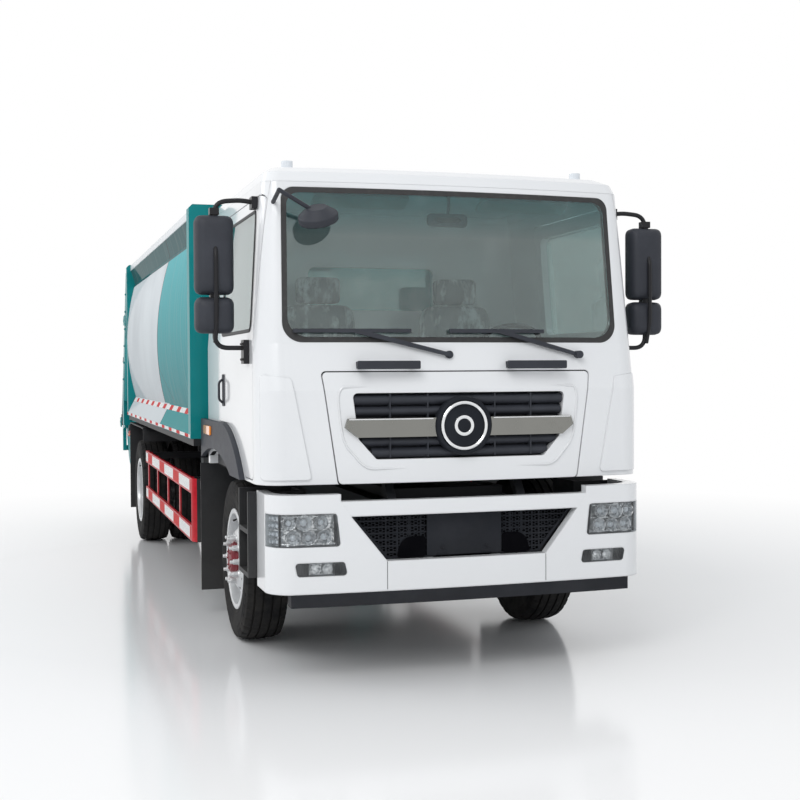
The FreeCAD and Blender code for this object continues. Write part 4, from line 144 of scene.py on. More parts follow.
class Paint:
    """A material, or the sky, under construction."""

    SOCKETS = {"colour": "Base Color", "rough": "Roughness", "metal": "Metallic", "normal": "Normal",
               "coat": "Coat Weight", "coat_rough": "Coat Roughness", "specular": "Specular IOR Level",
               "glow": "Emission Color", "glow_strength": "Emission Strength", "sheen": "Sheen Weight"}

    def __init__(self, name, owner=None, out="ShaderNodeOutputMaterial"):
        self.owner = owner or bpy.data.materials.new(name)
        self.owner.use_nodes = True
        self.tree = self.owner.node_tree
        self.tree.nodes.clear()
        self.out = self.tree.nodes.new(out)

    def node(self, kind, settings=None, inputs=None):
        """Add a node: its settings first, then numbers, colours or wires into its sockets."""
        item = self.tree.nodes.new(kind)
        for name, value in (settings or {}).items():
            setattr(item, name, value)
        for name, value in (inputs or {}).items():
            if isinstance(value, Wire):
                self.tree.links.new(value.socket, item.inputs[name])
            else:
                item.inputs[name].default_value = value
        return Outputs(self, item)

    def surface(self, shader):
        self.tree.links.new(shader.socket, self.out.inputs["Surface"])
        return self.owner

    def point(self):
        return self.node("ShaderNodeTexCoord")["Object"]

    def place(self):
        """x, y and z of the point, in metres, in the model's frame."""
        split = self.node("ShaderNodeSeparateXYZ", None, {"Vector": self.point()})
        return split["X"], split["Y"], split["Z"]

    def at(self, x, y, z):
        return self.node("ShaderNodeCombineXYZ", None, {"X": x, "Y": y, "Z": z})["Vector"]

    def noise(self, scale, detail=3, rough=0.5, where=None):
        values = {"Vector": where or self.point(), "Scale": scale, "Detail": detail, "Roughness": rough}
        return self.node("ShaderNodeTexNoise", None, values)["Fac"]

    def stretched_noise(self, x, y, z, detail, rough):
        """Noise whose scale differs along the three directions."""
        here = self.place()
        return self.noise(1, detail, rough, self.at(here[0] * x, here[1] * y, here[2] * z))

    def cells(self, scale, feature="F1"):
        values = {"Vector": self.point(), "Scale": scale}
        return self.node("ShaderNodeTexVoronoi", {"feature": feature}, values)["Distance"]

    def waves(self, direction, scale):
        values = {"Vector": self.point(), "Scale": scale}
        return self.node("ShaderNodeTexWave", {"bands_direction": direction}, values)["Fac"]

    def ramp(self, value, low, high, start=0.0, end=1.0):
        """Value from low to high turned into start to end, held beyond both."""
        values = {"Value": value, "From Min": low, "From Max": high, "To Min": start, "To Max": end}
        return self.node("ShaderNodeMapRange", {"clamp": True}, values)["Result"]

    def line(self, distance, half, edge):
        """1 within half of a line, 0 beyond the edge."""
        return self.ramp(abs(distance), half, edge, 1, 0)

    def mix(self, mask, first, second):
        """Colour: first where the mask is 0, second where it is 1."""
        first = first if isinstance(first, Wire) else tuple(first) + (1,)
        second = second if isinstance(second, Wire) else tuple(second) + (1,)
        return self.node("ShaderNodeMix", {"data_type": "RGBA"}, {0: mask, 6: first, 7: second}).colour()

    def worn_edges(self, radius, strength=3.0):
        """1 on convex and concave edges, 0 on flats, and the rounded normal."""
        soft = self.node("ShaderNodeBevel", {"samples": 4}, {"Radius": radius})["Normal"]
        true = self.node("ShaderNodeNewGeometry")["Normal"]
        dot = self.node("ShaderNodeVectorMath", {"operation": "DOT_PRODUCT"}, {0: soft, 1: true})["Value"]
        return self.ramp((1 - dot) * strength, 0.02, 0.6), soft

    def chips(self, edges, scale, low, high, rough=0.7, detail=3):
        """Chips along worn edges."""
        return edges * self.ramp(self.noise(scale, detail, rough), low, high)

    def bump(self, height, distance, strength=1.0, normal=None):
        values = {"Height": height, "Distance": distance, "Strength": strength}
        if normal:
            values["Normal"] = normal
        return self.node("ShaderNodeBump", None, values)["Normal"]

    def principled(self, **values):
        inputs = {}
        for name, value in values.items():
            if name in ("colour", "glow") and not isinstance(value, Wire):
                value = tuple(value) + (1,)
            inputs[self.SOCKETS[name]] = value
        return self.node("ShaderNodeBsdfPrincipled", None, inputs)["BSDF"]

    def finish(self, **values):
        return self.surface(self.principled(**values))

    def see_through(self, cast, mask, skin):
        """A clear pane with a cast, under a skin that shows where the mask is 1."""
        clear = self.node("ShaderNodeBsdfTransparent", None, {"Color": cast})["BSDF"]
        return self.surface(self.node("ShaderNodeMixShader", None, {0: mask, 1: clear, 2: skin})["Shader"])

    def fresnel(self, index):
        return self.node("ShaderNodeFresnel", None, {"IOR": index})["Fac"]

    def seen_directly(self):
        """1 for camera, glossy and transmission rays, 0 for the light that falls on the truck."""
        path = self.node("ShaderNodeLightPath")
        return (path["Is Camera Ray"] + path["Is Glossy Ray"] + path["Is Transmission Ray"]).least(1.0)


# Finishes

TEAL, SILVER, DIVIDER = (0.01, 0.245, 0.255), (0.72, 0.745, 0.76), (0.05, 0.055, 0.06)
# The first colour on the next line is painted shade: the side's top, in the shadow of the overhanging roof edge.
SHADE_BAND_TEAL, PINSTRIPE = (0.035, 0.1, 0.105), (0.02, 0.024, 0.028)
WHITE, PALE_CHIP, GREY_CHIP = (0.83, 0.84, 0.85), (0.7, 0.7, 0.7), (0.5, 0.5, 0.5)
ROAD_DUST, RUST = (0.33, 0.3, 0.26), (0.2, 0.1, 0.055)

# The body's dividing line: y at its middle height, and how far y falls per metre of height.
DIVIDE_Y, DIVIDE_Z, DIVIDE_FALL = 2.9, 1.95, 0.35
PIN_Y, PIN_Z, PIN_RUN = 2.97, 1.75, 2.2
# Height above which the side paint turns to that painted shade.
SHADE_BAND_Z = 2.628
SILL_DIVIDE_Y, SILL_TOP_Z = 2.75, 1.6
GUARD_FACE_X = 1.19


def road_film(paint, colour, rough, low=0.45, high=1.5, amount=0.5):
    """Dust and dried spray: thick near the ground, patchy, gone above the waist."""
    height = paint.ramp(paint.place()[2], low, high, 1, 0)
    cloud, fine = paint.noise(3.5, 6, 0.62), paint.noise(42, 4, 0.6)
    mask = paint.ramp(height * 0.75 + cloud * 0.55 + fine * 0.2, 0.72, 1.25, 0, amount)
    return paint.mix(mask, colour, ROAD_DUST), rough + mask * 0.45


def gloss_paint(name, colour, variation=0.04, film=0.35, coat=0.8, chip=GREY_CHIP, specular=0.5, edge=0.005):
    """Two-coat gloss paint with slight orange peel, edge chips and road film."""
    paint = Paint(name)
    deep = tuple(value * (1 - variation * 3) for value in colour)
    base = paint.mix(paint.ramp(paint.noise(1.3, 2), 0.35, 0.65), deep, colour)
    edges, soft = paint.worn_edges(edge)
    base = paint.mix(paint.chips(edges, 60, 0.6, 0.68) * 0.5, base, chip)
    base, roughness = road_film(paint, base, 0.28, amount=film)
    normal = paint.bump(paint.noise(220, 2), 0.00025, 0.25, soft)
    return paint.finish(colour=base, rough=roughness, normal=normal, coat=coat, coat_rough=0.06,
                        specular=specular)


def moulded_plastic(name, colour, grain=900, rough=0.48, film=0.3, specular=0.3):
    """Grained dark plastic that greys a little in patches and along edges."""
    paint = Paint(name)
    pale = tuple(min(1, value * 1.5 + 0.005) for value in colour)
    base = paint.mix(paint.ramp(paint.noise(5, 4), 0.45, 0.8, 0, 0.6), colour, pale)
    edges, soft = paint.worn_edges(0.004)
    base = paint.mix(edges * 0.35, base, pale)
    base, roughness = road_film(paint, base, rough + paint.noise(30, 3) * 0.12, amount=film)
    normal = paint.bump(paint.cells(grain), 0.0003, 0.35, soft)
    return paint.finish(colour=base, rough=roughness, normal=normal, specular=specular)


def satin_steel(name, colour, rough=0.5, rust=0.25, film=0.5):
    """Satin painted chassis steel with rust at the edges and grime."""
    paint = Paint(name)
    edges, soft = paint.worn_edges(0.004)
    spots = paint.ramp(paint.noise(28, 6, 0.7), 0.62, 0.72)
    base = paint.mix((edges * 0.6 + spots * 0.5) * rust, colour, RUST)
    base, roughness = road_film(paint, base, rough, 0.3, 1.3, film)
    normal = paint.bump(paint.noise(120, 4), 0.0006, 0.4, soft)
    return paint.finish(colour=base, rough=roughness, normal=normal, specular=0.18)


def bright_metal(name, colour, rough, brushed=0.0):
    """Chrome or polished steel with faint smears."""
    paint = Paint(name)
    smear = paint.noise(9, 5, 0.7)
    roughness = rough + paint.ramp(smear, 0.4, 0.8, 0, 0.12)
    normal = paint.bump(paint.stretched_noise(4, 4, 700, 3, 0.6), 0.0002, brushed, paint.worn_edges(0.002)[1])
    tint = paint.mix(paint.ramp(smear, 0.5, 0.9, 0, 0.3), colour, tuple(value * 0.75 for value in colour))
    return paint.finish(colour=tint, metal=1.0, rough=roughness, normal=normal)


def rim_paint():
    """Silver wheel paint with brake dust and road film towards the hub and rim."""
    paint = Paint("rim_silver")
    edges, soft = paint.worn_edges(0.003)
    dust = paint.ramp(paint.noise(16, 5, 0.65), 0.45, 0.8, 0, 0.2)
    base = paint.mix(dust, (0.66, 0.67, 0.68), (0.3, 0.27, 0.24))
    base = paint.mix(paint.chips(edges, 80, 0.56, 0.66) * 0.6, base, (0.25, 0.16, 0.1))
    normal = paint.bump(paint.noise(160, 3), 0.0004, 0.3, soft)
    return paint.finish(colour=base, rough=0.3 + dust * 0.4, metal=0.55, normal=normal)


def tyre_rubber():
    paint = Paint("tyre_rubber")
    grey = paint.ramp(paint.noise(7, 6, 0.7), 0.4, 0.75, 0, 0.55)
    base = paint.mix(grey, (0.012, 0.012, 0.013), (0.06, 0.056, 0.05))
    fine = paint.noise(260, 3)
    roughness = 0.78 - grey * 0.1 + fine * 0.08
    return paint.finish(colour=base, rough=roughness, normal=paint.bump(fine, 0.0006, 0.5), specular=0.15)


def soft_rubber():
    paint = Paint("seal_rubber")
    dust = paint.ramp(paint.noise(40, 4), 0.5, 0.8, 0, 0.4)
    base = paint.mix(dust, (0.018, 0.018, 0.019), (0.07, 0.07, 0.068))
    normal = paint.bump(paint.noise(300, 2), 0.0003, 0.4)
    return paint.finish(colour=base, rough=0.55 + dust * 0.2, normal=normal)


def tinted_glass(name, tint, band=False, veil=0.05):
    """Clear laminated glass: see-through with a green cast, a bright skin and faint wipe marks."""
    paint = Paint(name)
    smudge = paint.ramp(paint.noise(6, 5, 0.7), 0.5, 0.85)
    cast = tuple(tint) + (1,)
    if band:
        cast = paint.mix(paint.ramp(paint.place()[2], 2.46, 2.7), tint, (0.36, 0.66, 0.68))
    skin = paint.principled(colour=(0.88, 0.94, 0.94), rough=0.02 + smudge * 0.05, metal=1.0)
    return paint.see_through(cast, (paint.fresnel(1.45) + smudge * 0.04 + veil).least(0.9), skin)


def lamp_glass():
    """Clear polycarbonate lens: see-through with a bright skin."""
    paint = Paint("lamp_glass")
    haze = paint.ramp(paint.noise(11, 4), 0.4, 0.9, 0, 0.1)
    skin = paint.principled(colour=(0.75, 0.78, 0.8), rough=0.05 + haze, coat=1.0, coat_rough=0.02)
    mask = (paint.fresnel(1.5) * 0.8 + haze + 0.04).least(1.0)
    return paint.see_through((0.93, 0.95, 0.96, 1), mask, skin)


def seat_cloth():
    paint = Paint("seat_cloth")
    weave = paint.waves("X", 160) * paint.waves("Z", 160)
    base = paint.mix(weave * 0.5 + paint.noise(12, 4) * 0.3, (0.12, 0.125, 0.135), (0.27, 0.28, 0.3))
    return paint.finish(colour=base, rough=0.85, normal=paint.bump(weave, 0.0008, 0.6), sheen=0.3)


def cover_film():
    """Cloth under a loose clear dust cover: pale streaks painted over the weave as the cover's highlights."""
    paint = Paint("seat_cover")
    folds = paint.stretched_noise(9, 9, 4, 5, 0.65)
    painted_sheen = paint.ramp(folds, 0.5, 0.62)
    # Painted highlights: the pale colour along the fold streaks stands in for the plastic cover's sheen.
    base = paint.mix(painted_sheen * 0.75, (0.16, 0.165, 0.175), (0.72, 0.74, 0.76))
    roughness = 0.3 + (1 - painted_sheen) * 0.4
    return paint.finish(colour=base, rough=roughness, normal=paint.bump(folds, 0.012, 0.8), coat=0.5,
                        coat_rough=0.12)


def lamp_lens(name, colour, glow=0.0):
    """A coloured, ribbed lens."""
    paint = Paint(name)
    ribs = paint.waves("X", 28)
    base = paint.mix(paint.noise(14, 3) * 0.4, colour, tuple(value * 0.7 for value in colour))
    return paint.finish(colour=base, rough=0.12 + ribs * 0.05, normal=paint.bump(ribs, 0.001, 0.4), coat=1.0,
                        coat_rough=0.03, glow=colour, glow_strength=glow)


def lamp_chrome():
    """Bright reflector skin with painted reflections: its colour turns from white to dark grey cell by cell, as
    facets would pick up light and dark.
    """
    paint = Paint("lamp_chrome")
    facets = paint.cells(85)
    shade = paint.ramp(facets, 0.5, 0.7)
    # Painted reflections: white and dark grey cells in the colour stand in for the light and dark that real
    # facets reflect.
    base = paint.mix(shade, (1, 1, 1), (0.3, 0.31, 0.32))
    return paint.finish(colour=base, metal=0.6, rough=0.2 + shade * 0.1, normal=paint.bump(facets, 0.003, 0.45))


def side_panel_paint():
    """Silver behind a slanting dividing line, teal ahead of it, painted shade as a dark band on top under the
    roof's overhang, and two pinstripes.
    """
    paint = Paint("body_side_paint")
    z = paint.place()[2]
    back = paint.place()[1] - AXLE
    curve = DIVIDE_Y - (z - DIVIDE_Z) * DIVIDE_FALL
    ahead = paint.ramp(curve - back, -0.002, 0.002)
    teal = paint.mix(paint.ramp(z, 1.45, 2.6), (0.005, 0.19, 0.205), (0.06, 0.4, 0.43))
    silver = paint.mix(paint.ramp(z, 1.35, 2.4), (0.5, 0.54, 0.56), (0.66, 0.7, 0.72))
    silver = paint.mix(paint.ramp(paint.noise(1.1, 2), 0.35, 0.7, 0, 0.4), silver, (0.4, 0.43, 0.46))
    base = paint.mix(ahead, silver, teal)
    # Painted shade: above this height the panel turns dark teal, as in the shadow under the roof's edge.
    base = paint.mix(z > SHADE_BAND_Z, base, SHADE_BAND_TEAL)
    line = paint.line(curve - back + 0.012, 0.012, 0.016)
    second = paint.line(PIN_Y - (PIN_Z - z) * PIN_RUN - back, 0.006, 0.01) * (z < PIN_Z)
    base = paint.mix(line.most(second), base, PINSTRIPE)
    base, roughness = road_film(paint, base, 0.26, 1.2, 1.9, 0.1)
    streaks = paint.ramp(paint.stretched_noise(2, 14, 0.8, 4, 0.6), 0.5, 0.8, 0, 0.16)
    base = paint.mix(streaks, base, (0.4, 0.4, 0.38))
    normal = paint.bump(paint.noise(2.2, 2), 0.01, 0.25, paint.worn_edges(0.005)[1])
    return paint.finish(colour=base, rough=roughness, normal=normal, coat=0.22, coat_rough=0.04, specular=0.0)


def sill_paint():
    """Upper rails teal; sill boards silver at the rear and teal ahead of the dividing line."""
    paint = Paint("body_rail_paint")
    z = paint.place()[2]
    back = paint.place()[1] - AXLE
    base = paint.mix((back > SILL_DIVIDE_Y) * (z < SILL_TOP_Z), TEAL, (0.58, 0.62, 0.64))
    base = paint.mix(paint.line(back - SILL_DIVIDE_Y, 0.004, 0.007) * (z < SILL_TOP_Z), base, DIVIDER)
    edges, soft = paint.worn_edges(0.005)
    base = paint.mix(paint.chips(edges, 60, 0.6, 0.68) * 0.5, base, (0.4, 0.35, 0.3))
    base, roughness = road_film(paint, base, 0.28, 1.1, 1.7, 0.12)
    normal = paint.bump(paint.noise(220, 2), 0.00025, 0.25, soft)
    return paint.finish(colour=base, rough=roughness, normal=normal, coat=0.2, coat_rough=0.06, specular=0.0)


def guard_paint():
    """Red paint for the guard's outer face, scuffed along its edges; what lies behind it is painted black as
    shade.
    """
    paint = Paint("guard_red")
    base = paint.mix(paint.ramp(paint.noise(8, 5, 0.7), 0.4, 0.7), (0.42, 0.008, 0.018), (0.6, 0.014, 0.03))
    edges, soft = paint.worn_edges(0.004)
    base = paint.mix(paint.chips(edges, 50, 0.55, 0.66, 0.7, 4) * 0.4, base, (0.5, 0.46, 0.42))
    # Painted shade: everything inboard of the guard's face is near-black, as in the shadow under the body.
    base = paint.mix(abs(paint.place()[0]) < GUARD_FACE_X, base, (0.02, 0.02, 0.022))
    base, roughness = road_film(paint, base, 0.3, 0.4, 1.3, 0.1)
    normal = paint.bump(paint.noise(160, 3), 0.0004, 0.3, soft)
    return paint.finish(colour=base, rough=roughness, normal=normal, coat=0.16, coat_rough=0.08, specular=0.02)


def warning_tape(name, period, white):
    """Red and white reflective tape with honeycomb cells and scuffs."""
    paint = Paint(name)
    mask = ((paint.place()[1] + 20) % period) < white
    net = paint.ramp(paint.cells(260, "DISTANCE_TO_EDGE"), 0.02, 0.12)
    red = paint.mix(net, (0.36, 0.01, 0.012), (0.62, 0.02, 0.02))
    pale = paint.mix(net, (0.52, 0.53, 0.53), (0.84, 0.84, 0.83))
    scuff = paint.ramp(paint.noise(30, 5, 0.7), 0.6, 0.75, 0, 0.4)
    base = paint.mix(scuff, paint.mix(mask, red, pale), (0.35, 0.32, 0.3))
    normal = paint.bump(net, 0.0003, 0.4)
    return paint.finish(colour=base, rough=0.4 + scuff * 0.3, normal=normal, specular=0.02)


def build_finishes():
    """Every finish by its name: the record's material slots first, then those of single pieces."""
    return {
        "frame_black": satin_steel("frame_black", (0.022, 0.023, 0.026), rust=0.08, film=0.12),
        "body_teal": gloss_paint("body_teal", TEAL, film=0.08, coat=0.16, specular=0.02),
        "guard_red": guard_paint(),
        "bumper_white": gloss_paint("bumper_white", WHITE, 0.008, film=0.06, edge=0.014, chip=PALE_CHIP),
        "trim_dark": moulded_plastic("trim_dark", (0.03, 0.033, 0.042), film=0.06),
        "lamp_clear": lamp_lens("lamp_clear", (0.72, 0.75, 0.78)),
        "body_floor_steel": satin_steel("body_floor_steel", (0.018, 0.02, 0.022), film=0.12),
        "body_silver": gloss_paint("body_silver", SILVER, 0.01, film=0.08, coat=0.2, specular=0.05),
        "tyre": tyre_rubber(),
        "rim_silver": rim_paint(),
        "cab_white": gloss_paint("cab_white", WHITE, 0.008, film=0.06, edge=0.008, chip=PALE_CHIP),
        "glass": tinted_glass("door_glass", (0.84, 0.91, 0.9)),
        "seal_rubber": soft_rubber(),
        "lamp_amber": lamp_lens("lamp_amber", (0.85, 0.25, 0.02), 0.15),
        "seat_fabric": seat_cloth(),
        "chrome_bar": bright_metal("chrome_bar", (0.78, 0.79, 0.8), 0.08),
        "hopper_steel": satin_steel("hopper_steel", (0.22, 0.24, 0.25), 0.42, 0.5),
        "cylinder_black": satin_steel("cylinder_black", (0.02, 0.02, 0.022), 0.3, 0.1),
        "grille_black": moulded_plastic("grille_black", (0.014, 0.016, 0.021), film=0.04, specular=0.12),
        # Near-black with almost no reflection: black plastic on the lamp masks, fog lamp ends and arch linings,
        # and painted shade on the tow pockets, the sheet behind the honeycomb and the cones behind the wheel
        # discs.
        "recess_black": moulded_plastic("recess_black", (0.002, 0.002, 0.003), film=0.0, specular=0.02),
        "flap_rubber": moulded_plastic("flap_rubber", (0.02, 0.021, 0.023), grain=500, rough=0.5, film=0.06),
        "lining_grey": moulded_plastic("lining_grey", (0.42, 0.42, 0.4), film=0.0),
        "bar_metal": bright_metal("bar_metal", (0.24, 0.24, 0.225), 0.2, 0.3),
        "mirror_silver": bright_metal("mirror_silver", (0.86, 0.88, 0.88), 0.02),
        "hub_red": satin_steel("hub_red", (0.2, 0.018, 0.03), 0.35, 0.3, 0.1),
        "screen_glass": tinted_glass("screen_glass", (0.9, 0.95, 0.94), band=True, veil=0.035),
        "body_side_paint": side_panel_paint(),
        "body_rail_paint": sill_paint(),
        "seat_cover": cover_film(),
        "lamp_glass": lamp_glass(),
        "lamp_chrome": lamp_chrome(),
        "lamp_red": lamp_lens("lamp_red", (0.6, 0.02, 0.02), 0.1),
        "lamp_bulb": lamp_lens("lamp_bulb", (0.8, 0.84, 0.88)),
        "sill_tape": warning_tape("sill_warning_tape", 0.5, 0.3),
        "guard_tape": warning_tape("guard_warning_tape", 1.0, 0.62),
    }


# Nodes whose finish isn't the one of their material slot.
OWN_FINISH = {
    "cab_glass": "screen_glass", "lamps": "lamp_glass", "roof_lamps": "lamp_bulb", "grille_bar": "bar_metal",
    "front_mudflaps": "flap_rubber", "rear_fenders": "flap_rubber", "cab_steps": "flap_rubber",
    "body_sides": "body_side_paint", "body_rails": "body_rail_paint", "bumper_trim": "grille_black",
    "cab_floor": "frame_black",
}


def dress_nodes():
    """Give every carried-over node its finish."""
    slots = {entry["node"]: entry["material_slot"] for entry in frame["record"]["subparts"]}
    for name, item in frame["nodes"].items():
        finish = FINISH[OWN_FINISH.get(name, slots[name])]
        for index in range(max(1, len(item.material_slots))):
            if item.material_slots:
                item.material_slots[index].link = "OBJECT"
                item.material_slots[index].material = finish
            else:
                item.data.materials.append(finish)


# Studio

FLOOR_SIZE, FADE_START, FADE_END = 60, 3.2, 8.5
SOFT_SKY = {"Color": (0.93, 0.96, 1, 1), "Strength": 0.69}
# Each lamp: name, place, aim, energy and size.
LAMPS = (("key_lamp", (-5.5, -12.0, 9.0), (0, -3, 1.2), 490, 6.0),
         ("side_lamp", (-10.0, 1.0, 8.0), (0, 0, 1.2), 340, 7.0))


def studio():
    """A pale floor that fades to a white room, a soft sky and two soft lamps."""
    scene = bpy.context.scene
    scene.view_settings.view_transform = "Standard"
    paint = Paint("studio_floor")
    x, y = paint.place()[:2]
    far = paint.ramp(((x * x) + (y + 1.0) * (y + 1.0)) ** 0.5, FADE_START, FADE_END)
    white = paint.node("ShaderNodeEmission", None, {"Color": (1, 1, 1, 1), "Strength": 1.0})["Emission"]
    pale = paint.principled(colour=(0.93, 0.93, 0.93), rough=0.14, specular=0.5)
    mesh = bpy.data.meshes.new("studio_floor")
    corners = [(-1, -1), (1, -1), (1, 1), (-1, 1)]
    mesh.from_pydata([(x * FLOOR_SIZE, y * FLOOR_SIZE, 0) for x, y in corners], [], [(0, 1, 2, 3)])
    floor = bpy.data.objects.new("studio_floor", mesh)
    mix = {0: far * paint.seen_directly(), 1: pale, 2: white}
    floor.data.materials.append(paint.surface(paint.node("ShaderNodeMixShader", None, mix)["Shader"]))
    bpy.context.collection.objects.link(floor)
    scene.world = bpy.data.worlds.new("studio_sky")
    sky = Paint("studio_sky", scene.world, "ShaderNodeOutputWorld")
    soft = sky.node("ShaderNodeBackground", None, SOFT_SKY)["Background"]
    bright = sky.node("ShaderNodeBackground", None, {"Color": (1, 1, 1, 1), "Strength": 1.0})["Background"]
    sky.surface(sky.node("ShaderNodeMixShader", None, {0: sky.seen_directly(), 1: soft, 2: bright})["Shader"])
    for name, place, aim, energy, size in LAMPS:
        data = bpy.data.lights.new(name, "AREA")
        data.energy = energy
        data.size = size
        lamp = bpy.data.objects.new(name, data)
        lamp.location = place
        lamp.rotation_euler = (Vector(aim) - Vector(place)).to_track_quat("-Z", "Y").to_euler()
        bpy.context.collection.objects.link(lamp)


# Places and outlines

SMOOTH_ANGLE, BEVEL_ANGLE = math.radians(38), math.radians(40)
BACKWARD, AHEAD_OF_CAB = Vector((0, 1, 0)), -3 + AXLE


def spot(side, x, y, z):
    """A place on one side of the truck: x outwards, y behind the front axle, z above the ground."""
    return Vector((side * x, y + AXLE, z))


def facing(y):
    """Lays an outline out across the truck, y behind the front axle."""
    return lambda u, v, depth: Vector((u, y + AXLE + depth, v))


def beside(side, x=0.0):
    """Lays an outline out along a side of the truck, x out from the middle plane."""
    return lambda u, v, depth: spot(side, x + depth, u, v)


def spread(low, high, count):
    return [low + (high - low) * step / count for step in range(count + 1)]


def frame_of(direction):
    """Two directions square to the given one."""
    ahead = Vector(direction).normalized()
    rough = Vector((0, 0, 1)) if abs(ahead.z) < 0.9 else Vector((1, 0, 0))
    across = ahead.cross(rough).normalized()
    return across, ahead.cross(across).normalized()


def round_corner(before, corner, after, radius, steps):
    first, last = before - corner, after - corner
    reach = min(radius, first.length * 0.49, last.length * 0.49)
    start, end = corner + first.normalized() * reach, corner + last.normalized() * reach
    return [start.lerp(corner, share).lerp(corner.lerp(end, share), share) for share in spread(0, 1, steps)]


def bend_points(points, radius, steps=6):
    """A line with its corners rounded."""
    points = [Vector(point) for point in points]
    result = [points[0]]
    for corner in zip(points, points[1:], points[2:]):
        result += round_corner(*corner, radius, steps)
    return result + [points[-1]]


def rounded_outline(corners, radius, steps=5):
    """A closed (u, v) outline with rounded corners."""
    corners = [Vector(corner) for corner in corners]
    result = []
    for corner in zip(corners[-1:] + corners[:-1], corners, corners[1:] + corners[:1]):
        result += [(point.x, point.y) for point in round_corner(*corner, radius, steps)]
    return result


def rounded_box(u_low, u_high, v_low, v_high, radius, steps=5):
    return rounded_outline([(u_low, v_low), (u_high, v_low), (u_high, v_high), (u_low, v_high)], radius, steps)


def ray_to(node_name):
    """A test that finds where a line first meets a node's surface."""
    item = frame["nodes"][node_name]
    places = [item.matrix_world @ vert.co for vert in item.data.vertices]
    tree = BVHTree.FromPolygons(places, [face.vertices for face in item.data.polygons])
    return lambda start, direction: tree.ray_cast(Vector(start), Vector(direction).normalized())[0]


def add_piece(name, mesh, body, finish, modifiers):
    """Put a mesh into the scene as a piece that rides on a body."""
    item = bpy.data.objects.new(name, mesh)
    bpy.context.collection.objects.link(item)
    mesh.materials.append(FINISH[finish])
    for kind, settings in modifiers:
        modifier = item.modifiers.new(kind, kind)
        for key, value in settings.items():
            setattr(modifier, key, value)
    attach(item, body)
    return item


# Mesh helpers

class Form:
    """A mesh that is put together from simple runs of faces, then finished as one piece."""

    def __init__(self):
        self.mesh = bmesh.new()

    def loop(self, points):
        return [self.mesh.verts.new(point) for point in points]

    def ring(self, centre, across, up, radius, sides, squash=1.0):
        angles = [math.tau * index / sides for index in range(sides)]
        return self.loop(centre + across * (math.cos(angle) * radius) + up * (math.sin(angle) * radius * squash)
                         for angle in angles)

    def stack(self, rings, closed=False):
        """Join each ring to the next one, and the last to the first where closed."""
        for first, second in zip(rings, rings[1:] + rings[:1] if closed else rings[1:]):
            for index in range(len(first)):
                after = (index + 1) % len(first)
                self.mesh.faces.new((first[index], first[after], second[after], second[index]))

    def cap(self, ring):
        self.mesh.faces.new(ring)

    def ends(self, first, last):
        self.cap(first[::-1])
        self.cap(last)

    def block(self, corner, opposite):
        low = [min(pair) for pair in zip(corner, opposite)]
        high = [max(pair) for pair in zip(corner, opposite)]
        corners = self.loop((x, y, z) for z in (low[2], high[2]) for y in (low[1], high[1])
                            for x in (low[0], high[0]))
        for face in ((0, 2, 3, 1), (4, 5, 7, 6), (0, 1, 5, 4), (1, 3, 7, 5), (3, 2, 6, 7), (2, 0, 4, 6)):
            self.cap([corners[index] for index in face])

    def drum(self, start, end, radius, end_radius=None, sides=32):
        start, end = Vector(start), Vector(end)
        across, up = frame_of(end - start)
        first = self.ring(start, across, up, radius, sides)
        second = self.ring(end, across, up, end_radius or radius, sides)
        self.stack([first, second])
        self.ends(first, second)

    def bolt(self, centre, direction, width, height):
        """A hexagon head on a washer, standing on a face."""
        centre, direction = Vector(centre), Vector(direction).normalized()
        washer = centre + direction * height * 0.2
        self.drum(centre, washer, width * 0.75, sides=20)
        self.drum(washer, centre + direction * height, width * 0.5, width * 0.46, sides=6)

    def sweep(self, points, radius, sides, closed=False, squash=1.0):
        """A tube along points, with its ends capped; radius may be one number or one per point."""
        points = [Vector(point) for point in points]
        radii = radius if hasattr(radius, "__len__") else [radius] * len(points)
        rings = []
        across = None
        for index, point in enumerate(points):
            before = points[index - 1] if index or closed else point
            after = points[(index + 1) % len(points)] if index < len(points) - 1 or closed else point
            ahead = (after - before).normalized()
            if across is None:
                across = frame_of(ahead)[0]
            across = (across - ahead * across.dot(ahead)).normalized()
            rings.append(self.ring(point, across, ahead.cross(across), radii[index], sides, squash))
        self.stack(rings, closed)
        if not closed:
            self.ends(rings[0], rings[-1])

    def lathe(self, profile, centre, direction, sides, closed=False):
        """Turn (along, radius) points about an axis; a radius of 0 closes to a cap."""
        ahead = Vector(direction).normalized()
        across, up = frame_of(ahead)
        self.stack([self.ring(Vector(centre) + ahead * along, across, up, max(radius, 0.0004), sides)
                    for along, radius in profile], closed)

    def prism(self, outline, start, end, lay):
        """A straight-sided piece: outline points go through lay(u, v, depth) at both depths."""
        first, second = (self.loop(lay(u, v, depth) for u, v in outline) for depth in (start, end))
        self.stack([first, second])
        self.ends(first, second)

    def skin(self, rows):
        """A sheet through rows of points."""
        grid = [self.loop(row) for row in rows]
        for first, second in zip(grid, grid[1:]):
            for index in range(len(first) - 1):
                self.cap((first[index], first[index + 1], second[index + 1], second[index]))

    def finish(self, name, body, finish, slot=None, bevel=0.0, thick=0.0, smooth=True):
        """Close the mesh into a piece with the given finish; the slot is not used."""
        bmesh.ops.recalc_face_normals(self.mesh, faces=self.mesh.faces)
        mesh = bpy.data.meshes.new(name)
        self.mesh.to_mesh(mesh)
        self.mesh.free()
        if smooth:
            for face in mesh.polygons:
                face.use_smooth = True
            mesh.set_sharp_from_angle(angle=SMOOTH_ANGLE)
        modifiers = []
        if thick:
            modifiers.append(("SOLIDIFY", {"thickness": thick, "offset": 0}))
        if bevel:
            modifiers.append(("BEVEL", {"width": bevel, "segments": 2, "limit_method": "ANGLE",
                                        "angle_limit": BEVEL_ANGLE}))
        return add_piece(name, mesh, body, finish, modifiers)


def forms(count):
    return [Form() for index in range(count)]


# Tyres and wheels

TREAD_RING, TYRE_TOP = 216, 0.5095
BLOCK_CUT, RIB_CUT = 0.011, 0.004
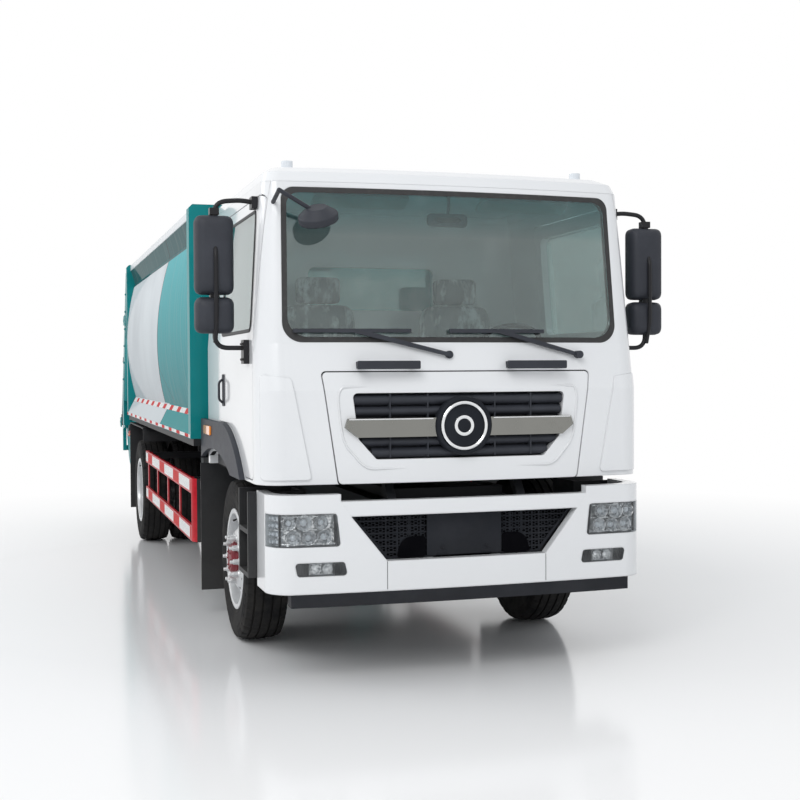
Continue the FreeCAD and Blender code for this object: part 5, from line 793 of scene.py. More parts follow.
# Places across the tread; (across, depth) of one groove's shape and of the shoulder; (across, radius) of a wall.
GROOVES = (-0.082, -0.029, 0.029, 0.082)
GROOVE_SHAPE = ((-0.0065, 0), (-0.0045, 0.013), (0.0045, 0.013), (0.0065, 0))
SHOULDER = 0.117, 0.004
WALL = ((0.112, 0.302), (0.119, 0.318), (0.126, 0.335), (0.1275, 0.343), (0.1255, 0.346), (0.131, 0.375),
        (0.1345, 0.402), (0.1365, 0.425), (0.1365, 0.431), (0.1345, 0.434), (0.1345, 0.45), (0.1335, 0.462),
        (0.1315, 0.466), (0.1295, 0.482), (0.1245, 0.494))


def on_wheel(x, axle_y, radius, angle):
    """A place at a radius and an angle about an axle."""
    return Vector((x, axle_y + AXLE + math.cos(angle) * radius, HUB_HEIGHT + math.sin(angle) * radius))


def tyre_form(form, centre_x, axle_y):
    """A road tyre: four grooves round it, cut shoulder blocks and ribbed side walls."""
    edge, drop = SHOULDER
    tread = [(place + shift, depth) for place in GROOVES for shift, depth in GROOVE_SHAPE]
    rows = [(-along, radius, "wall") for along, radius in WALL]
    for along, depth in [(-edge, drop)] + tread + [(edge, drop)]:
        kind = "crown" if abs(along) > 0.1 else "groove" if depth else "tread"
        rows.append((along, TYRE_TOP - 0.0085 * (abs(along) / 0.12) ** 3 - depth, kind))
    rows += [(along, radius, "wall") for along, radius in reversed(WALL)]
    rings = []
    for along, radius, kind in rows:
        turn = along * 0.06 if kind in ("tread", "groove") else 0
        cuts = [0] * 6
        if kind == "crown" or (kind == "wall" and radius > 0.465):
            cuts[0] = BLOCK_CUT
        elif kind == "tread":
            cuts[0 if abs(along) > 0.05 else 3] = RIB_CUT
        rings.append(form.loop(on_wheel(centre_x + along, axle_y, radius - cuts[index % 6],
                                        math.tau * index / TREAD_RING + turn) for index in range(TREAD_RING)))
    form.stack(rings, closed=True)


def build_tyres():
    for side, word in SIDES:
        for end, node, axle_y, places in (("front", "tyre_front_", 0, (0.952,)),
                                          ("rear", "tyres_rear_", REAR_AXLE, (0.775, 1.089))):
            form = Form()
            for x in places:
                tyre_form(form, side * x, axle_y)
            item = form.finish("tyre_tread_%s_%s" % (end, word), "wheel_" + end[0] + word[0], "tyre")
            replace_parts(item, node + word)


HOLES, HOLE_STEPS, HOLE_RING = 10, 16, 0.2055
HOLE_HALF_WIDTH, HOLE_HALF_HEIGHT = 0.029, 0.023
DISC_INNER, DISC_OUTER = 0.168, 0.255


def wheel_shell(form, side, axle_y, flange_x, root_x, bow):
    """The pressed disc of a wheel: from its bolted flange out to the rim's well, with ten oval holes."""
    levels = [0.112, 0.13, 0.15, DISC_INNER]
    levels += [0.176 + 0.005 * step for step in range(12)] + [0.242, DISC_OUTER]
    total = HOLES * HOLE_STEPS
    rings = []
    for radius in levels:
        share = max(0.0, (radius - DISC_INNER) / (DISC_OUTER - DISC_INNER))
        x = side * (flange_x + (root_x - flange_x) * share ** bow)
        rings.append(form.loop(on_wheel(x, axle_y, radius, math.tau * (index - HOLE_STEPS / 2) / total)
                               for index in range(total)))
    for level, (first, second) in enumerate(zip(rings, rings[1:])):
        rise = (levels[level] + levels[level + 1]) / 2 - HOLE_RING
        for index in range(total):
            run = ((index % HOLE_STEPS) + 0.5 - HOLE_STEPS / 2) * math.tau / total * HOLE_RING
            if (run / HOLE_HALF_WIDTH) ** 2 + (rise / HOLE_HALF_HEIGHT) ** 2 >= 1:
                after = (index + 1) % total
                form.cap((first[index], first[after], second[after], second[index]))


# Each end: its axle, how far out the flange and the disc's root lie, the bow between them, and how far out
# the rim's edge and the hub's end lie.
WHEELS = (("front", 0, 1.068, 0.986, 1.1, 1.0763, 1.112),
          ("rear", REAR_AXLE, 0.9505, 1.109, 0.92, 1.2133, 1.04))
# Profiles: (further out, radius).
RIM_PROFILE = ((-0.03, 0.287), (-0.006, 0.287), (0.001, 0.29), (0.002, 0.3), (0.0035, 0.311), (0.001, 0.3185),
               (-0.006, 0.3215), (-0.014, 0.32))
HUB_FOOT = ((0, 0.112), (0.014, 0.109), (0.016, 0.097), (0.03, 0.09))
HUB_END = ((-0.012, 0.0865), (-0.003, 0.08), (0, 0.068), (0, 0.045), (-0.0015, 0.04), (-0.0015, 0.0))
NUTS, NUT_RING, CAP_BOLTS = 10, 0.14, 8
# Washer, nut and stud: from, to, radius, end radius and sides.
NUT_PARTS = ((0, 0.009, 0.025, 0.023, 24), (0.009, 0.043, 0.0195, 0.018, 6), (0.043, 0.062, 0.0125, 0.0105, 16))
VALVE = ((0.0048, ((0, 0), (0.03, -0.006), (0.062, -0.018))), (0.0065, ((0.055, -0.016), (0.07, -0.021))))


def wheel_details():
    """Pressed discs, rolled rims, nuts on long studs, valves and the red bolted hubs."""
    for side, word in SIDES:
        for end, axle_y, flange_x, root_x, bow, edge_x, hub_x in WHEELS:
            body, place = "wheel_" + end[0] + word[0], "_%s_%s" % (end, word)
            out = Vector((side, 0, 0))
            middle = Vector((0, axle_y + AXLE, HUB_HEIGHT))

            def at(x, radius, angle):
                return on_wheel(side * x, axle_y, radius, angle)

            rim, disc, shade, nuts, hub, stem = forms(6)
            rim.lathe([(edge_x + along, radius) for along, radius in RIM_PROFILE], middle, out, 120)
            rim.finish("rim_edge" + place, body, "rim_silver")
            wheel_shell(disc, side, axle_y, flange_x, root_x, bow)
            disc.finish("wheel_disc" + place, body, "rim_silver", thick=0.005)
            # Painted shade: a near-black cone just inside each disc darkens the well seen through its holes.
            inner, outer = flange_x - 0.014, root_x - 0.014
            shade.lathe([(inner, 0.165), ((inner + outer) / 2, 0.209), (outer, 0.252)], middle, out, 96)
            shade.finish("wheel_shade" + place, body, "recess_black", "frame_black")
            for index in range(NUTS):
                centre = at(flange_x, NUT_RING, math.tau * index / NUTS)
                for low, high, radius, end_radius, sides in NUT_PARTS:
                    nuts.drum(centre + out * low, centre + out * high, radius, end_radius, sides)
            nuts.finish("wheel_nuts" + place, body, "rim_silver", bevel=0.0012)
            hub.lathe([(flange_x + along, radius) for along, radius in HUB_FOOT]
                      + [(hub_x + along, radius) for along, radius in HUB_END], middle, out, 72)
            for index in range(CAP_BOLTS):
                angle = math.tau * index / CAP_BOLTS
                hub.bolt(at(hub_x, 0.058, angle), out, 0.013, 0.007)
                hub.bolt(at(flange_x + 0.015, 0.103, angle + 0.2), out, 0.011, 0.007)
            hub.finish("hub_cap" + place, body, "hub_red", "frame_black", bevel=0.001)
            foot = at(edge_x - 0.07, 0.264, 1.35)
            for radius, line in VALVE:
                stem.sweep([foot + Vector((side * along, 0, drop)) for along, drop in line], radius, 12)
            stem.finish("tyre_valve" + place, body, "cylinder_black", "tyre")


# Reflective tapes

# How far out the tapes' inner faces lie on sill and guard, and their thickness.
SILL_FACE, GUARD_FACE, TAPE = 1.2502, 1.2202, 0.0012


def build_tapes():
    """Tapes along the sill boards and on both boards of each side guard."""
    for side, word in SIDES:
        low, high, guard = forms(3)
        low.block(spot(side, SILL_FACE, 0.8, 1.246), spot(side, SILL_FACE + TAPE, 6.0, 1.27))
        low.finish("sill_tape_low_" + word, "chassis", "sill_tape", "body_silver")

        def lay(u, v, depth):
            """u runs up the sloping sill board, v along the truck."""
            return spot(side, 1.25 - 0.085 * u + depth, v, 1.271 + 0.1687 * u + depth * 0.45)

        high.prism([(0.72, 0.9), (0.95, 0.9), (0.95, 5.92), (0.72, 5.92)], 0.0003, 0.0018, lay)
        high.finish("sill_tape_high_" + word, "chassis", "sill_tape", "body_silver")
        for level in (0.515, 0.855):
            guard.block(spot(side, GUARD_FACE, 1.05, level), spot(side, GUARD_FACE + TAPE, 4.28, level + 0.08))
        guard.finish("guard_tape_" + word, "chassis", "guard_tape", "guard_red")


# Cab front

LID_LINE = ((-0.70, 1.618), (0.70, 1.618), (0.715, 1.56), (0.70, 1.40), (0.68, 1.30), (0.56, 1.165),
            (-0.56, 1.165), (-0.68, 1.30), (-0.70, 1.40), (-0.715, 1.56))
GRILLE_LOW, GRILLE_WAIST, GRILLE_TOP = 1.217, 1.33, 1.584
# Each blade: its height and half its own height.
BLADES = ((1.545, 0.031), (1.482, 0.029), (1.315, 0.029), (1.252, 0.029))
GRILLE_FACE = -1.322 + AXLE
BOSS_CENTRE = (0, -1.352 + AXLE, 1.398)


def grille_half(z):
    """Half the width of the grille's opening at a height."""
    if z > GRILLE_WAIST:
        return 0.60 + (z - GRILLE_WAIST) / (GRILLE_TOP - GRILLE_WAIST) * 0.033
    return 0.50 + (z - GRILLE_LOW) / (GRILLE_WAIST - GRILLE_LOW) * 0.10


def build_front():
    """Raised line round the grille, rolled grille blades and the plain round boss."""
    hit = ray_to("front_lid")
    places = [hit((u, AHEAD_OF_CAB, v), BACKWARD) for u, v in rounded_outline(LID_LINE, 0.05, 4)]
    ridge, slats, boss, ring = forms(4)
    places = [place + BACKWARD * 0.002 for place in places if place]
    ridge.sweep(places, 0.011, 10, closed=True, squash=0.7)
    ridge.finish("lid_ridge", "lid", "cab_white")
    for level, tall in BLADES:
        half = grille_half(level) - 0.006
        slats.skin([[(x, GRILLE_FACE + 0.02 * (x / 0.63) ** 2 + 0.052 - math.sin(turn) * 0.046,
                      level - math.cos(turn) * tall) for x in spread(-half, half, 24)]
                    for turn in spread(0, math.pi, 12)])
    for x in (-0.42, -0.2, 0.2, 0.42):
        slats.block((x - 0.004, GRILLE_FACE + 0.012, 1.225), (x + 0.004, GRILLE_FACE + 0.06, 1.578))
    slats.skin([[(share * (grille_half(z) - 0.004), GRILLE_FACE + 0.07 + 0.005 * abs(share), z)
                 for share in (-1, 0, 1)] for z in (1.219, 1.33, 1.582)])
    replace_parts(slats.finish("grille_blades", "lid", "trim_dark"), "grille_slats")
    for form, sides, profile in (
            (boss, 96, ((0.045, 0.166), (0.004, 0.166), (-0.004, 0.16), (-0.006, 0.146), (-0.001, 0.14),
                        (0.006, 0.138))),
            (boss, 96, ((0.006, 0.09), (0.001, 0.06), (-0.002, 0.03), (-0.003, 0.0))),
            (boss, 96, ((0.006, 0.138), (0.009, 0.12), (0.006, 0.09))),
            (ring, 96, ((0.004, 0.14), (-0.007, 0.137), (-0.012, 0.13), (-0.007, 0.121), (0.006, 0.118))),
            (ring, 72, ((0.004, 0.06), (-0.004, 0.057), (-0.007, 0.048), (-0.004, 0.04), (0.002, 0.037)))):
        form.lathe(profile, BOSS_CENTRE, BACKWARD, sides)
    boss.finish("grille_boss", "lid", "grille_black", "chrome_bar")
    ring.finish("grille_ring", "lid", "chrome_bar")
    bar = frame["nodes"]["grille_bar"]
    top = max((bar.matrix_world @ vert.co).z for vert in bar.data.vertices)
    hit = ray_to("grille_bar")
    for word, low, high in (("right", -0.66, -0.18), ("left", 0.18, 0.66)):
        points = [hit((x, AHEAD_OF_CAB, top - 0.005), BACKWARD) for x in spread(low, high, 12)]
        strip = Form()
        strip.sweep([point for point in points if point], 0.004, 8)
        strip.finish("grille_bar_edge_" + word, "lid", "chrome_bar")


# Front lamps

# The bumper's half width, the round of its corners, the bow of its face and how far ahead that is.
BUMPER_HALF, BUMPER_ROUND, BUMPER_BOW, BUMPER_FACE = 1.115, 0.15, 0.035, -1.415
LAMP_START, LAMP_SPLIT, LAMP_END = 0.752, 1.06, 1.182


def bumper_point(run, inset, z, side):
    """A place on the bumper: run goes round its face from the middle, the inset goes in square to it."""
    flat = BUMPER_HALF - BUMPER_ROUND
    if run <= flat:
        return spot(side, run, BUMPER_FACE + BUMPER_BOW * (run / flat) ** 2 + inset, z)
    angle = min((run - flat) / BUMPER_ROUND, math.pi / 2)
    reach = BUMPER_ROUND - inset
    centre = BUMPER_FACE + BUMPER_BOW + BUMPER_ROUND
    return spot(side, flat + math.sin(angle) * reach, centre - math.cos(angle) * reach, z)


def face_row(low, high, count, inset, z, side):
    """Points round the bumper's face at one height."""
    return [bumper_point(run, inset, z, side) for run in spread(low, high, count)]


def reflector(form, centre, radius, depth, flutes=0):
    """A dished reflector that opens forwards, with an optional fluted surface."""
    sides = 48
    rings = []
    for share in spread(0, 1, 8):
        reach, ring = radius * (0.12 + 0.88 * share), []
        for index in range(sides):
            angle = math.tau * index / sides
            wave = reach * (1 + (0.03 * math.cos(angle * flutes) if flutes else 0))
            away = Vector((math.cos(angle) * wave, depth * (1 - share ** 2), math.sin(angle) * wave))
            ring.append(centre + away)
        rings.append(form.loop(ring))
    form.stack(rings)
    form.cap(rings[0])


# Housing: (height, inset). Ribs: run from and to, height, inset, radius. Dishes: run, height, radius, flutes.
HOUSING = ((0.762, 0.03), (0.768, 0.052), (0.85, 0.056), (0.925, 0.052), (0.931, 0.03))
LAMP_RIBS = ((0.755, LAMP_SPLIT, 0.772, 0.02, 0.004), (0.76, LAMP_SPLIT, 0.922, 0.02, 0.004),
             (0.757, LAMP_SPLIT, 0.848, 0.034, 0.005), (1.075, LAMP_END, 0.848, 0.022, 0.004),
             (1.075, LAMP_END, 0.8, 0.022, 0.003), (1.075, LAMP_END, 0.9, 0.022, 0.003))
DISHES = ((0.815, 0.808, 0.038, 0), (0.9, 0.806, 0.036, 12), (0.985, 0.808, 0.037, 0),
          (0.83, 0.887, 0.036, 14), (0.925, 0.888, 0.042, 0), (1.01, 0.887, 0.034, 10))


def build_headlamps():
    """Chrome housings with dished reflectors and bulbs, clear corner lamps and the fog lamps below."""
    for side, word in SIDES:
        housing, bulbs, corner, mask, fog, ends = forms(6)
        housing.skin([face_row(LAMP_START, LAMP_END, 36, inset, z, side) for z, inset in HOUSING])
        for low, high, z, inset, radius in LAMP_RIBS:
            housing.sweep(face_row(low, high, 16, inset, z, side), radius, 8)
        for x, z, radius, flutes in DISHES:
            centre = bumper_point(x, 0.012, z, side)
            reflector(housing, centre, radius, 0.036, flutes)
            housing.lathe([(-0.001, radius * 1.02), (-0.002, radius * 1.09), (0.012, radius * 1.12),
                           (0.012, radius * 1.02)], centre, BACKWARD, 40, True)
            bulbs.lathe([(0.004, 0.0005), (0.006, radius * 0.26), (0.013, radius * 0.42),
                         (0.024, radius * 0.48)], centre, BACKWARD, 24)
        for run in (1.09, 1.125, 1.16):
            for z in (0.785, 0.825, 0.872, 0.912):
                start, end = (bumper_point(run, inset, z, side) for inset in (0.016, 0.05))
                corner.drum(start, end, 0.009, 0.015, 16)
        for run, lean in ((0.742, 0.11), (1.068, 0)):
            mask.sweep([bumper_point(run + (z - 0.757) * lean, 0.012, z, side)
                        for z in (0.762, 0.8, 0.85, 0.9, 0.93)], 0.0065, 8)
        mask.skin([face_row(0.735, LAMP_END + 0.01, 36, 0.058, z, side) for z in (0.757, 0.936)])
        housing.finish("headlamp_reflectors_" + word, "chassis", "lamp_chrome", "chrome_bar")
        bulbs.finish("headlamp_bulbs_" + word, "chassis", "lamp_bulb", "lamp_clear")
        corner.finish("corner_lamp_bulbs_" + word, "chassis", "lamp_bulb", "lamp_clear")
        mask.finish("headlamp_masks_" + word, "chassis", "recess_black", "trim_dark")
        for x, flutes in ((0.80, 10), (0.865, 0)):
            reflector(fog, bumper_point(x, 0.012, 0.636, side), 0.029, 0.03, flutes)
        fog.skin([face_row(0.765, 0.9, 12, 0.044, z, side) for z in (0.604, 0.668)])
        for z in (0.608, 0.664):
            fog.sweep(face_row(0.77, 0.895, 8, 0.02, z, side), 0.0035, 8)
        fog.finish("fog_reflectors_" + word, "chassis", "lamp_chrome", "chrome_bar")
        for low, high in ((0.695, 0.762), (0.903, 0.982)):
            ends.skin([face_row(low, high, 8, 0.006, z, side) for z in (0.602, 0.67)])
            for run in spread(low, high, 4)[1:4]:
                ends.sweep([bumper_point(run, 0.005, z, side) for z in (0.604, 0.636, 0.668)], 0.0018, 6)
        ends.finish("fog_lamp_masks_" + word, "chassis", "recess_black", "trim_dark")


# Bumper

MESH_LOW, MESH_MIDDLE, MESH_TOP, MESH_SQUASH = 0.667, 0.791, 0.916, 0.72
PLATE_FACE = -1.3475


def honeycomb(form, cell, wall, depth, inside, lay):
    """Six-sided cells with thin walls wherever the test says that a centre is inside."""
    across, up = cell * 1.5, cell * math.sqrt(3) / 2
    corners = [(math.cos(math.tau * k / 6), math.sin(math.tau * k / 6)) for k in range(6)]
    for column in range(-40, 41):
        for row in range(-12, 13):
            u, v = column * across, row * up * 2 + (up if column % 2 else 0)
            if inside(u, v):
                form.stack([form.loop(lay(u + a * reach, v + b * reach, back) for a, b in corners)
                            for reach, back in ((cell, 0), (cell - wall, 0), (cell - wall * 1.4, depth))])


def build_bumper_details():
    """Honeycomb in the lower opening, two tow pockets, a plain middle panel and the panel seams."""
    def lay(u, v, depth):
        return Vector((u, -1.342 + AXLE + 0.02 * (u / 0.66) ** 2 + depth, MESH_MIDDLE + v * MESH_SQUASH))

    def inside(u, v):
        z = MESH_MIDDLE + v * MESH_SQUASH
        half = 0.469 + (0.669 - 0.469) * (z - MESH_LOW) / (MESH_TOP - MESH_LOW)
        return 0.236 < abs(u) < half - 0.02 and 0.676 < z < 0.908

    net, back, pockets, plate, seams = forms(5)
    honeycomb(net, 0.0135, 0.003, 0.006, inside, lay)
    net.finish("bumper_honeycomb", "chassis", "grille_black", "trim_dark", smooth=False)
    # Painted shade: a near-black sheet just behind the honeycomb darkens the opening.
    back.skin([[(x, -1.3375 + AXLE + 0.02 * (x / 0.66) ** 2, z) for x in spread(-half, half, 24)]
               for z, half in ((0.668, 0.458), (0.79, 0.556), (0.915, 0.656))])
    back.finish("bumper_mesh_back", "chassis", "recess_black", "trim_dark", thick=0.001)
    for side in (LEFT, RIGHT):
        # Painted shade: the tow pockets are flat near-black plates that stand in for the pockets' recesses.
        corners = [(0.228, 0.674), (0.399, 0.674), (0.372, 0.76), (0.33, 0.787), (0.228, 0.787)]
        pockets.prism(rounded_outline([(side * u, v) for u, v in corners], 0.02), -0.003, 0.004, facing(-1.345))
        seams.sweep([bumper_point(0.469, -0.0003, z, side) for z in (0.512, 0.54, 0.6, 0.664)], 0.0016, 6)
    pockets.finish("tow_pockets", "chassis", "recess_black", "trim_dark", bevel=0.001)
    plate.prism(rounded_box(-0.222, 0.222, 0.676, 0.908, 0.012), 0, 0.006, facing(PLATE_FACE))
    for x in (-0.13, 0.13):
        plate.bolt((x, PLATE_FACE + AXLE, 0.72), -BACKWARD, 0.016, 0.008)
        plate.block((x - 0.03, -1.351 + AXLE, 0.683), (x + 0.03, -1.347 + AXLE, 0.697))
    plate.finish("number_plate_blank", "chassis", "grille_black", "trim_dark", bevel=0.001)
    seams.finish("bumper_seams", "chassis", "grille_black", "trim_dark")


# Sides

SOFFIT = ((1.158, 2.63), (1.168, 2.69), (1.2035, 2.802), (1.10, 2.802), (1.10, 2.63))
ROOF_EDGE = ((1.19, 2.80), (1.209, 2.803), (1.209, 2.858), (1.2, 2.8655), (1.05, 2.8655), (1.05, 2.80))
ARCH = ((-0.50, 1.075), (-0.47, 1.12), (-0.36, 1.168), (-0.18, 1.198), (0.12, 1.212), (0.36, 1.195),
        (0.60, 1.13), (0.60, 1.075))
DOOR_WINDOW = ((-1.016, 1.94), (0.006, 1.94), (0.006, 2.606), (-0.956, 2.606))


def build_body_trim():
    """Roof edge with its soffit, arch linings, side markers and the seals round the door windows."""
    for side, word in SIDES:
        at = partial(spot, side)
        soffit, edge, lining, marker, seal = forms(5)
        for form, outline in ((soffit, SOFFIT), (edge, ROOF_EDGE)):
            form.prism(outline, BODY_FRONT, BODY_REAR, lambda u, v, depth: at(u, depth, v))
        # The soffit lies wholly above the side paint's shade height, so all of it is painted shade.
        soffit.finish("roof_soffit_" + word, "chassis", "body_side_paint", "body_silver")
        edge.finish("roof_edge_" + word, "chassis", "body_silver", bevel=0.004)
        lining.prism(ARCH, 1.088, 1.093, beside(side))
        for reach in (1.09, 1.15):
            lining.skin([[at(x, u, v - 0.005) for u, v in ARCH[1:-1]] for x in (reach - 0.03, reach)])
        lining.finish("arch_lining_" + word, "cab", "recess_black", "trim_dark")
        marker.prism(rounded_box(0.26, 0.54, 1.288, 1.35, 0.02), 1.182, 1.196, beside(side))
        marker.finish("side_marker_" + word, "cab", "lamp_amber", bevel=0.004)
        hit = ray_to("door_" + word)
        line = []
        for u, v in rounded_outline(DOOR_WINDOW, 0.055):
            away = Vector((0, u + 0.5, v - 2.27)).normalized() * 0.006
            line.append(hit(at(2, u, v) + away, (-side, 0, 0)))
        seal.sweep([place for place in line if place], 0.011, 8, closed=True, squash=0.6)
        seal.finish("window_seal_" + word, "door_" + word, "seal_rubber")


# Mirrors

# From the rim of a case to its crown: (share of the depth, inset).
CASE_PROFILE = ((0.5, 0.0), (0.48, -0.002), (0.1, -0.004), (-0.15, -0.001), (-0.36, 0.012), (-0.46, 0.028),
                (-0.5, 0.05))
MIRROR_X, MIRROR_Y, MIRROR_HALF = 1.335, -0.955, 0.105
GRIP_Y = -0.08


def oval_case(form, centre, half_width, half_height, depth, corner):
    """A mirror's case: rounded outline, crowned front and an open back for the glass."""
    outline = rounded_box(-half_width, half_width, -half_height, half_height, corner, 6)

    def ring(wide, tall, y):
        return form.loop(Vector(centre) + Vector((u * wide, y, v * tall)) for u, v in outline)

    rings = [ring(1 - inset / half_width, 1 - inset / half_height, share * depth)
             for share, inset in CASE_PROFILE]
    form.stack(rings)
    form.cap(rings[-1])
    rim, well = ring(0.93, 0.96, 0.5 * depth), ring(0.93, 0.96, 0.5 * depth - 0.014)
    form.stack([rings[0], rim, well])
    form.cap(well)


def mirror_glass(form, centre, half_width, half_height, depth, corner):
    """A slightly crowned pane that sits in a mirror's case."""
    outline = rounded_box(-half_width, half_width, -half_height, half_height, corner, 6)
    middle = Vector(centre) + BACKWARD * (depth / 2 - 0.01)
    rings = [form.loop(middle + Vector((u * scale, rise, v * scale)) for u, v in outline)
             for scale, rise in ((0.925, 0.0), (0.6, 0.0025), (0.25, 0.0035))]
    form.stack(rings)
    form.cap(rings[-1])


def build_mirrors():
    """Two mirrors on a bent arm at each door, and the door's handle."""
    x, y = MIRROR_X, MIRROR_Y
    for side, word in SIDES:
        body, at = "door_" + word, partial(spot, side)
        arms, cases, glass, grip = forms(4)
        top = [at(1.096, y, 2.655), at(1.18, y, 2.668), at(x, y, 2.655), at(x, y, 1.84), at(1.165, y, 1.84)]
        arms.sweep(bend_points(top, 0.075, 8), 0.0135, 14)
        arms.sweep([at(x, y, 2.6), at(x, y, 2.56)], 0.021, 20)
        for level in (2.60, 2.36, 2.13, 2.02):
            arms.block(at(x - 0.026, y - 0.024, level - 0.019), at(x + 0.026, y + 0.03, level + 0.019))
        front = ((0.02, 2.43), (0.064, 2.37), (0.066, 2.2), (0.066, 2.0), (0.02, 1.87))
        arms.sweep(bend_points([at(x, y - ahead, z) for ahead, z in front], 0.05), 0.0125, 14)
        arms.block(at(1.151, y - 0.045, 1.75), at(1.181, y + 0.045, 1.885))
        arms.block(at(1.094, y - 0.04, 2.62), at(1.128, y + 0.04, 2.688))
        for shift in (-0.028, 0.028):
            for level in (1.775, 1.862):
                arms.bolt(at(1.181, y + shift, level), (side, 0, 0), 0.014, 0.008)
        arms.finish("mirror_arms_" + word, body, "cylinder_black", "trim_dark", bevel=0.003)
        for low, high in ((2.14, 2.575), (1.924, 2.12)):
            for shape, form in ((oval_case, cases), (mirror_glass, glass)):
                shape(form, at(x, y, (low + high) / 2), MIRROR_HALF, (high - low) / 2, 0.11, 0.045)
        cases.finish("mirror_cases_" + word, body, "trim_dark")
        glass.finish("mirror_glass_" + word, body, "mirror_silver", "trim_dark")
        face = side * ray_to(body)(at(2, GRIP_Y, 1.59), (-side, 0, 0)).x + 0.001
        grip.prism(rounded_box(-0.115, -0.045, 1.49, 1.69, 0.012), 0, 0.006, beside(side, face))
        line = ((0.004, 1.51), (0.03, 1.53), (0.03, 1.64), (0.004, 1.66))
        grip.sweep(bend_points([at(face + out, GRIP_Y, z) for out, z in line], 0.02), 0.011, 14, squash=0.7)
        grip.drum(at(face + 0.005, GRIP_Y, 1.676), at(face + 0.0085, GRIP_Y, 1.676), 0.008, sides=24)
        handle = grip.finish("door_handle_" + word, body, "trim_dark", bevel=0.0015)
        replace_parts(handle, "mirror_" + word)


# Seats and cab inside

PAD_POWER, STUFFING = 7.0, 0.75
# Each pad: place, half sizes, seams (along, place, width, depth), crown of its top and its front, finish.
PADS = (
    ("seat_base_", (-0.155, 1.51), (0.248, 0.262, 0.058),
     (("x", -0.55, 0.05, 0.012), ("x", 0.55, 0.05, 0.012), ("y", 0.35, 0.04, 0.008), ("y", -0.2, 0.04, 0.008)),
     (0.018, 0), "seat_fabric"),
    ("seat_back_", (0.172, 1.80), (0.246, 0.062, 0.345),
     (("x", -0.58, 0.05, 0.014), ("x", 0.58, 0.05, 0.014), ("z", 0.3, 0.03, 0.01), ("z", -0.35, 0.03, 0.01)),
     (0, 0.02), "seat_cover"),
    ("head_rest_", (0.172, 2.24), (0.145, 0.055, 0.088),
     (("x", -0.6, 0.06, 0.006), ("x", 0.6, 0.06, 0.006)), (0, 0.016), "seat_cover"))


def pad(name, centre, half, seams, crown, finish):
    """A stuffed pad: a soft-cornered block, crowned on its face, drawn in along its seams."""
    mesh = bmesh.new()
    bmesh.ops.create_cube(mesh, size=2)
    bmesh.ops.subdivide_edges(mesh, edges=mesh.edges[:], cuts=23, use_grid_fill=True)
    for vert in mesh.verts:
        soft = sum(abs(value) ** PAD_POWER for value in vert.co) ** (1 / PAD_POWER)
        x, y, z = (value / soft for value in vert.co)
        lift = crown[0] * max(0, z) ** 2 * (1 - x * x) * (1 - y * y)
        push = crown[1] * max(0, -y) ** 2 * (1 - x * x) * (1 - z * z)
        draw = sum(depth * math.exp(-(({"x": x, "y": y, "z": z}[along] - place) / width) ** 2)
                   for along, place, width, depth in seams)
        vert.co = (x * (half[0] - draw * 0.3), y * half[1] - push + (draw if y < 0 and crown[1] else 0),
                   z * half[2] + lift - (draw if z > 0 and crown[0] else 0))
    for face in mesh.faces:
        face.smooth = True
    data = bpy.data.meshes.new(name)
    mesh.to_mesh(data)
    mesh.free()
    data.transform(Matrix.Translation(centre))
    item = add_piece(name, data, "cab", finish, [("SUBSURF", {"levels": 1, "render_levels": 1})])
    return item


def build_seats():
    for side, word in SIDES:
        at = partial(spot, side)
        items = [pad(name + word, at(0.48, *place), half, seams, crown, finish)
                 for name, place, half, seams, crown, finish in PADS]
        if side == LEFT:
            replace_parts(items[0], "seat_cushions")
        posts = Form()
        for x in (0.42, 0.54):
            posts.drum(at(x, 0.175, 2.12), at(x, 0.175, 2.17), 0.006, sides=14)
        posts.finish("head_rest_posts_" + word, "cab", "chrome_bar", "trim_dark")


WHEEL_X, DASH_FACE = 0.48, -0.9


def build_inside():
    """Gauge hood, switches, gauges, column stalks, inner mirror and sun visors."""
    hood, face, stalks, inner, visors = forms(5)
    arch = [spot(LEFT, WHEEL_X - 0.24 + 0.48 * share, -0.93 - 0.06 * math.sin(math.pi * share),
                 1.80 + 0.075 * math.sin(math.pi * share)) for share in spread(0, 1, 12)]
    hood.skin([[point + Vector(shift) for point in arch]
               for shift in ((0, -0.12, 0), (0, 0, 0), (0, 0.01, -0.012))])
    for x in (-0.9, -0.3, 0.15, 0.85):
        hood.prism(rounded_box(x - 0.07, x + 0.07, 1.70, 1.765, 0.012), 0, 0.012, facing(DASH_FACE))
    hood.finish("gauge_hood", "cab", "trim_dark", bevel=0.004)
    face.prism(rounded_box(0.27, 0.69, 1.6, 1.76, 0.03), 0, 0.008, facing(DASH_FACE))
    for x in (0.37, 0.59):
        face.lathe([(0.008, 0.045), (0.014, 0.047), (0.014, 0.052), (0.006, 0.054)],
                   spot(LEFT, x, DASH_FACE, 1.68), BACKWARD, 40, True)
    face.finish("gauge_face", "cab", "cylinder_black", "trim_dark")
    for way in (-1, 1):
        start = spot(LEFT, WHEEL_X + way * 0.03, -0.79, 1.80)
        line = ((0, 0, 0), (way * 0.09, 0.01, 0), (way * 0.17, 0.02, 0.012))
        stalks.sweep([start + Vector(point) for point in line], [0.009, 0.007, 0.011], 12)
    stalks.finish("column_stalks", "cab", "trim_dark")
    oval_case(inner, spot(LEFT, 0, -1.08, 2.575), 0.12, 0.035, 0.03, 0.03)
    inner.sweep([spot(LEFT, 0, *point) for point in ((-1.085, 2.61), (-1.10, 2.66), (-1.105, 2.74))], 0.009, 12)
    inner.finish("inner_mirror", "cab", "trim_dark")
    for x in (0.5, -0.5):
        visors.prism(rounded_box(x - 0.28, x + 0.28, 0, 0.16, 0.03), 0, 0.016, lambda u, v, depth: spot(
            LEFT, u, -1.06 + depth + v * 0.75, 2.70 - v * 0.35 + depth))
    visors.finish("sun_visors", "cab", "lining_grey", "trim_dark", bevel=0.005)


# Tail

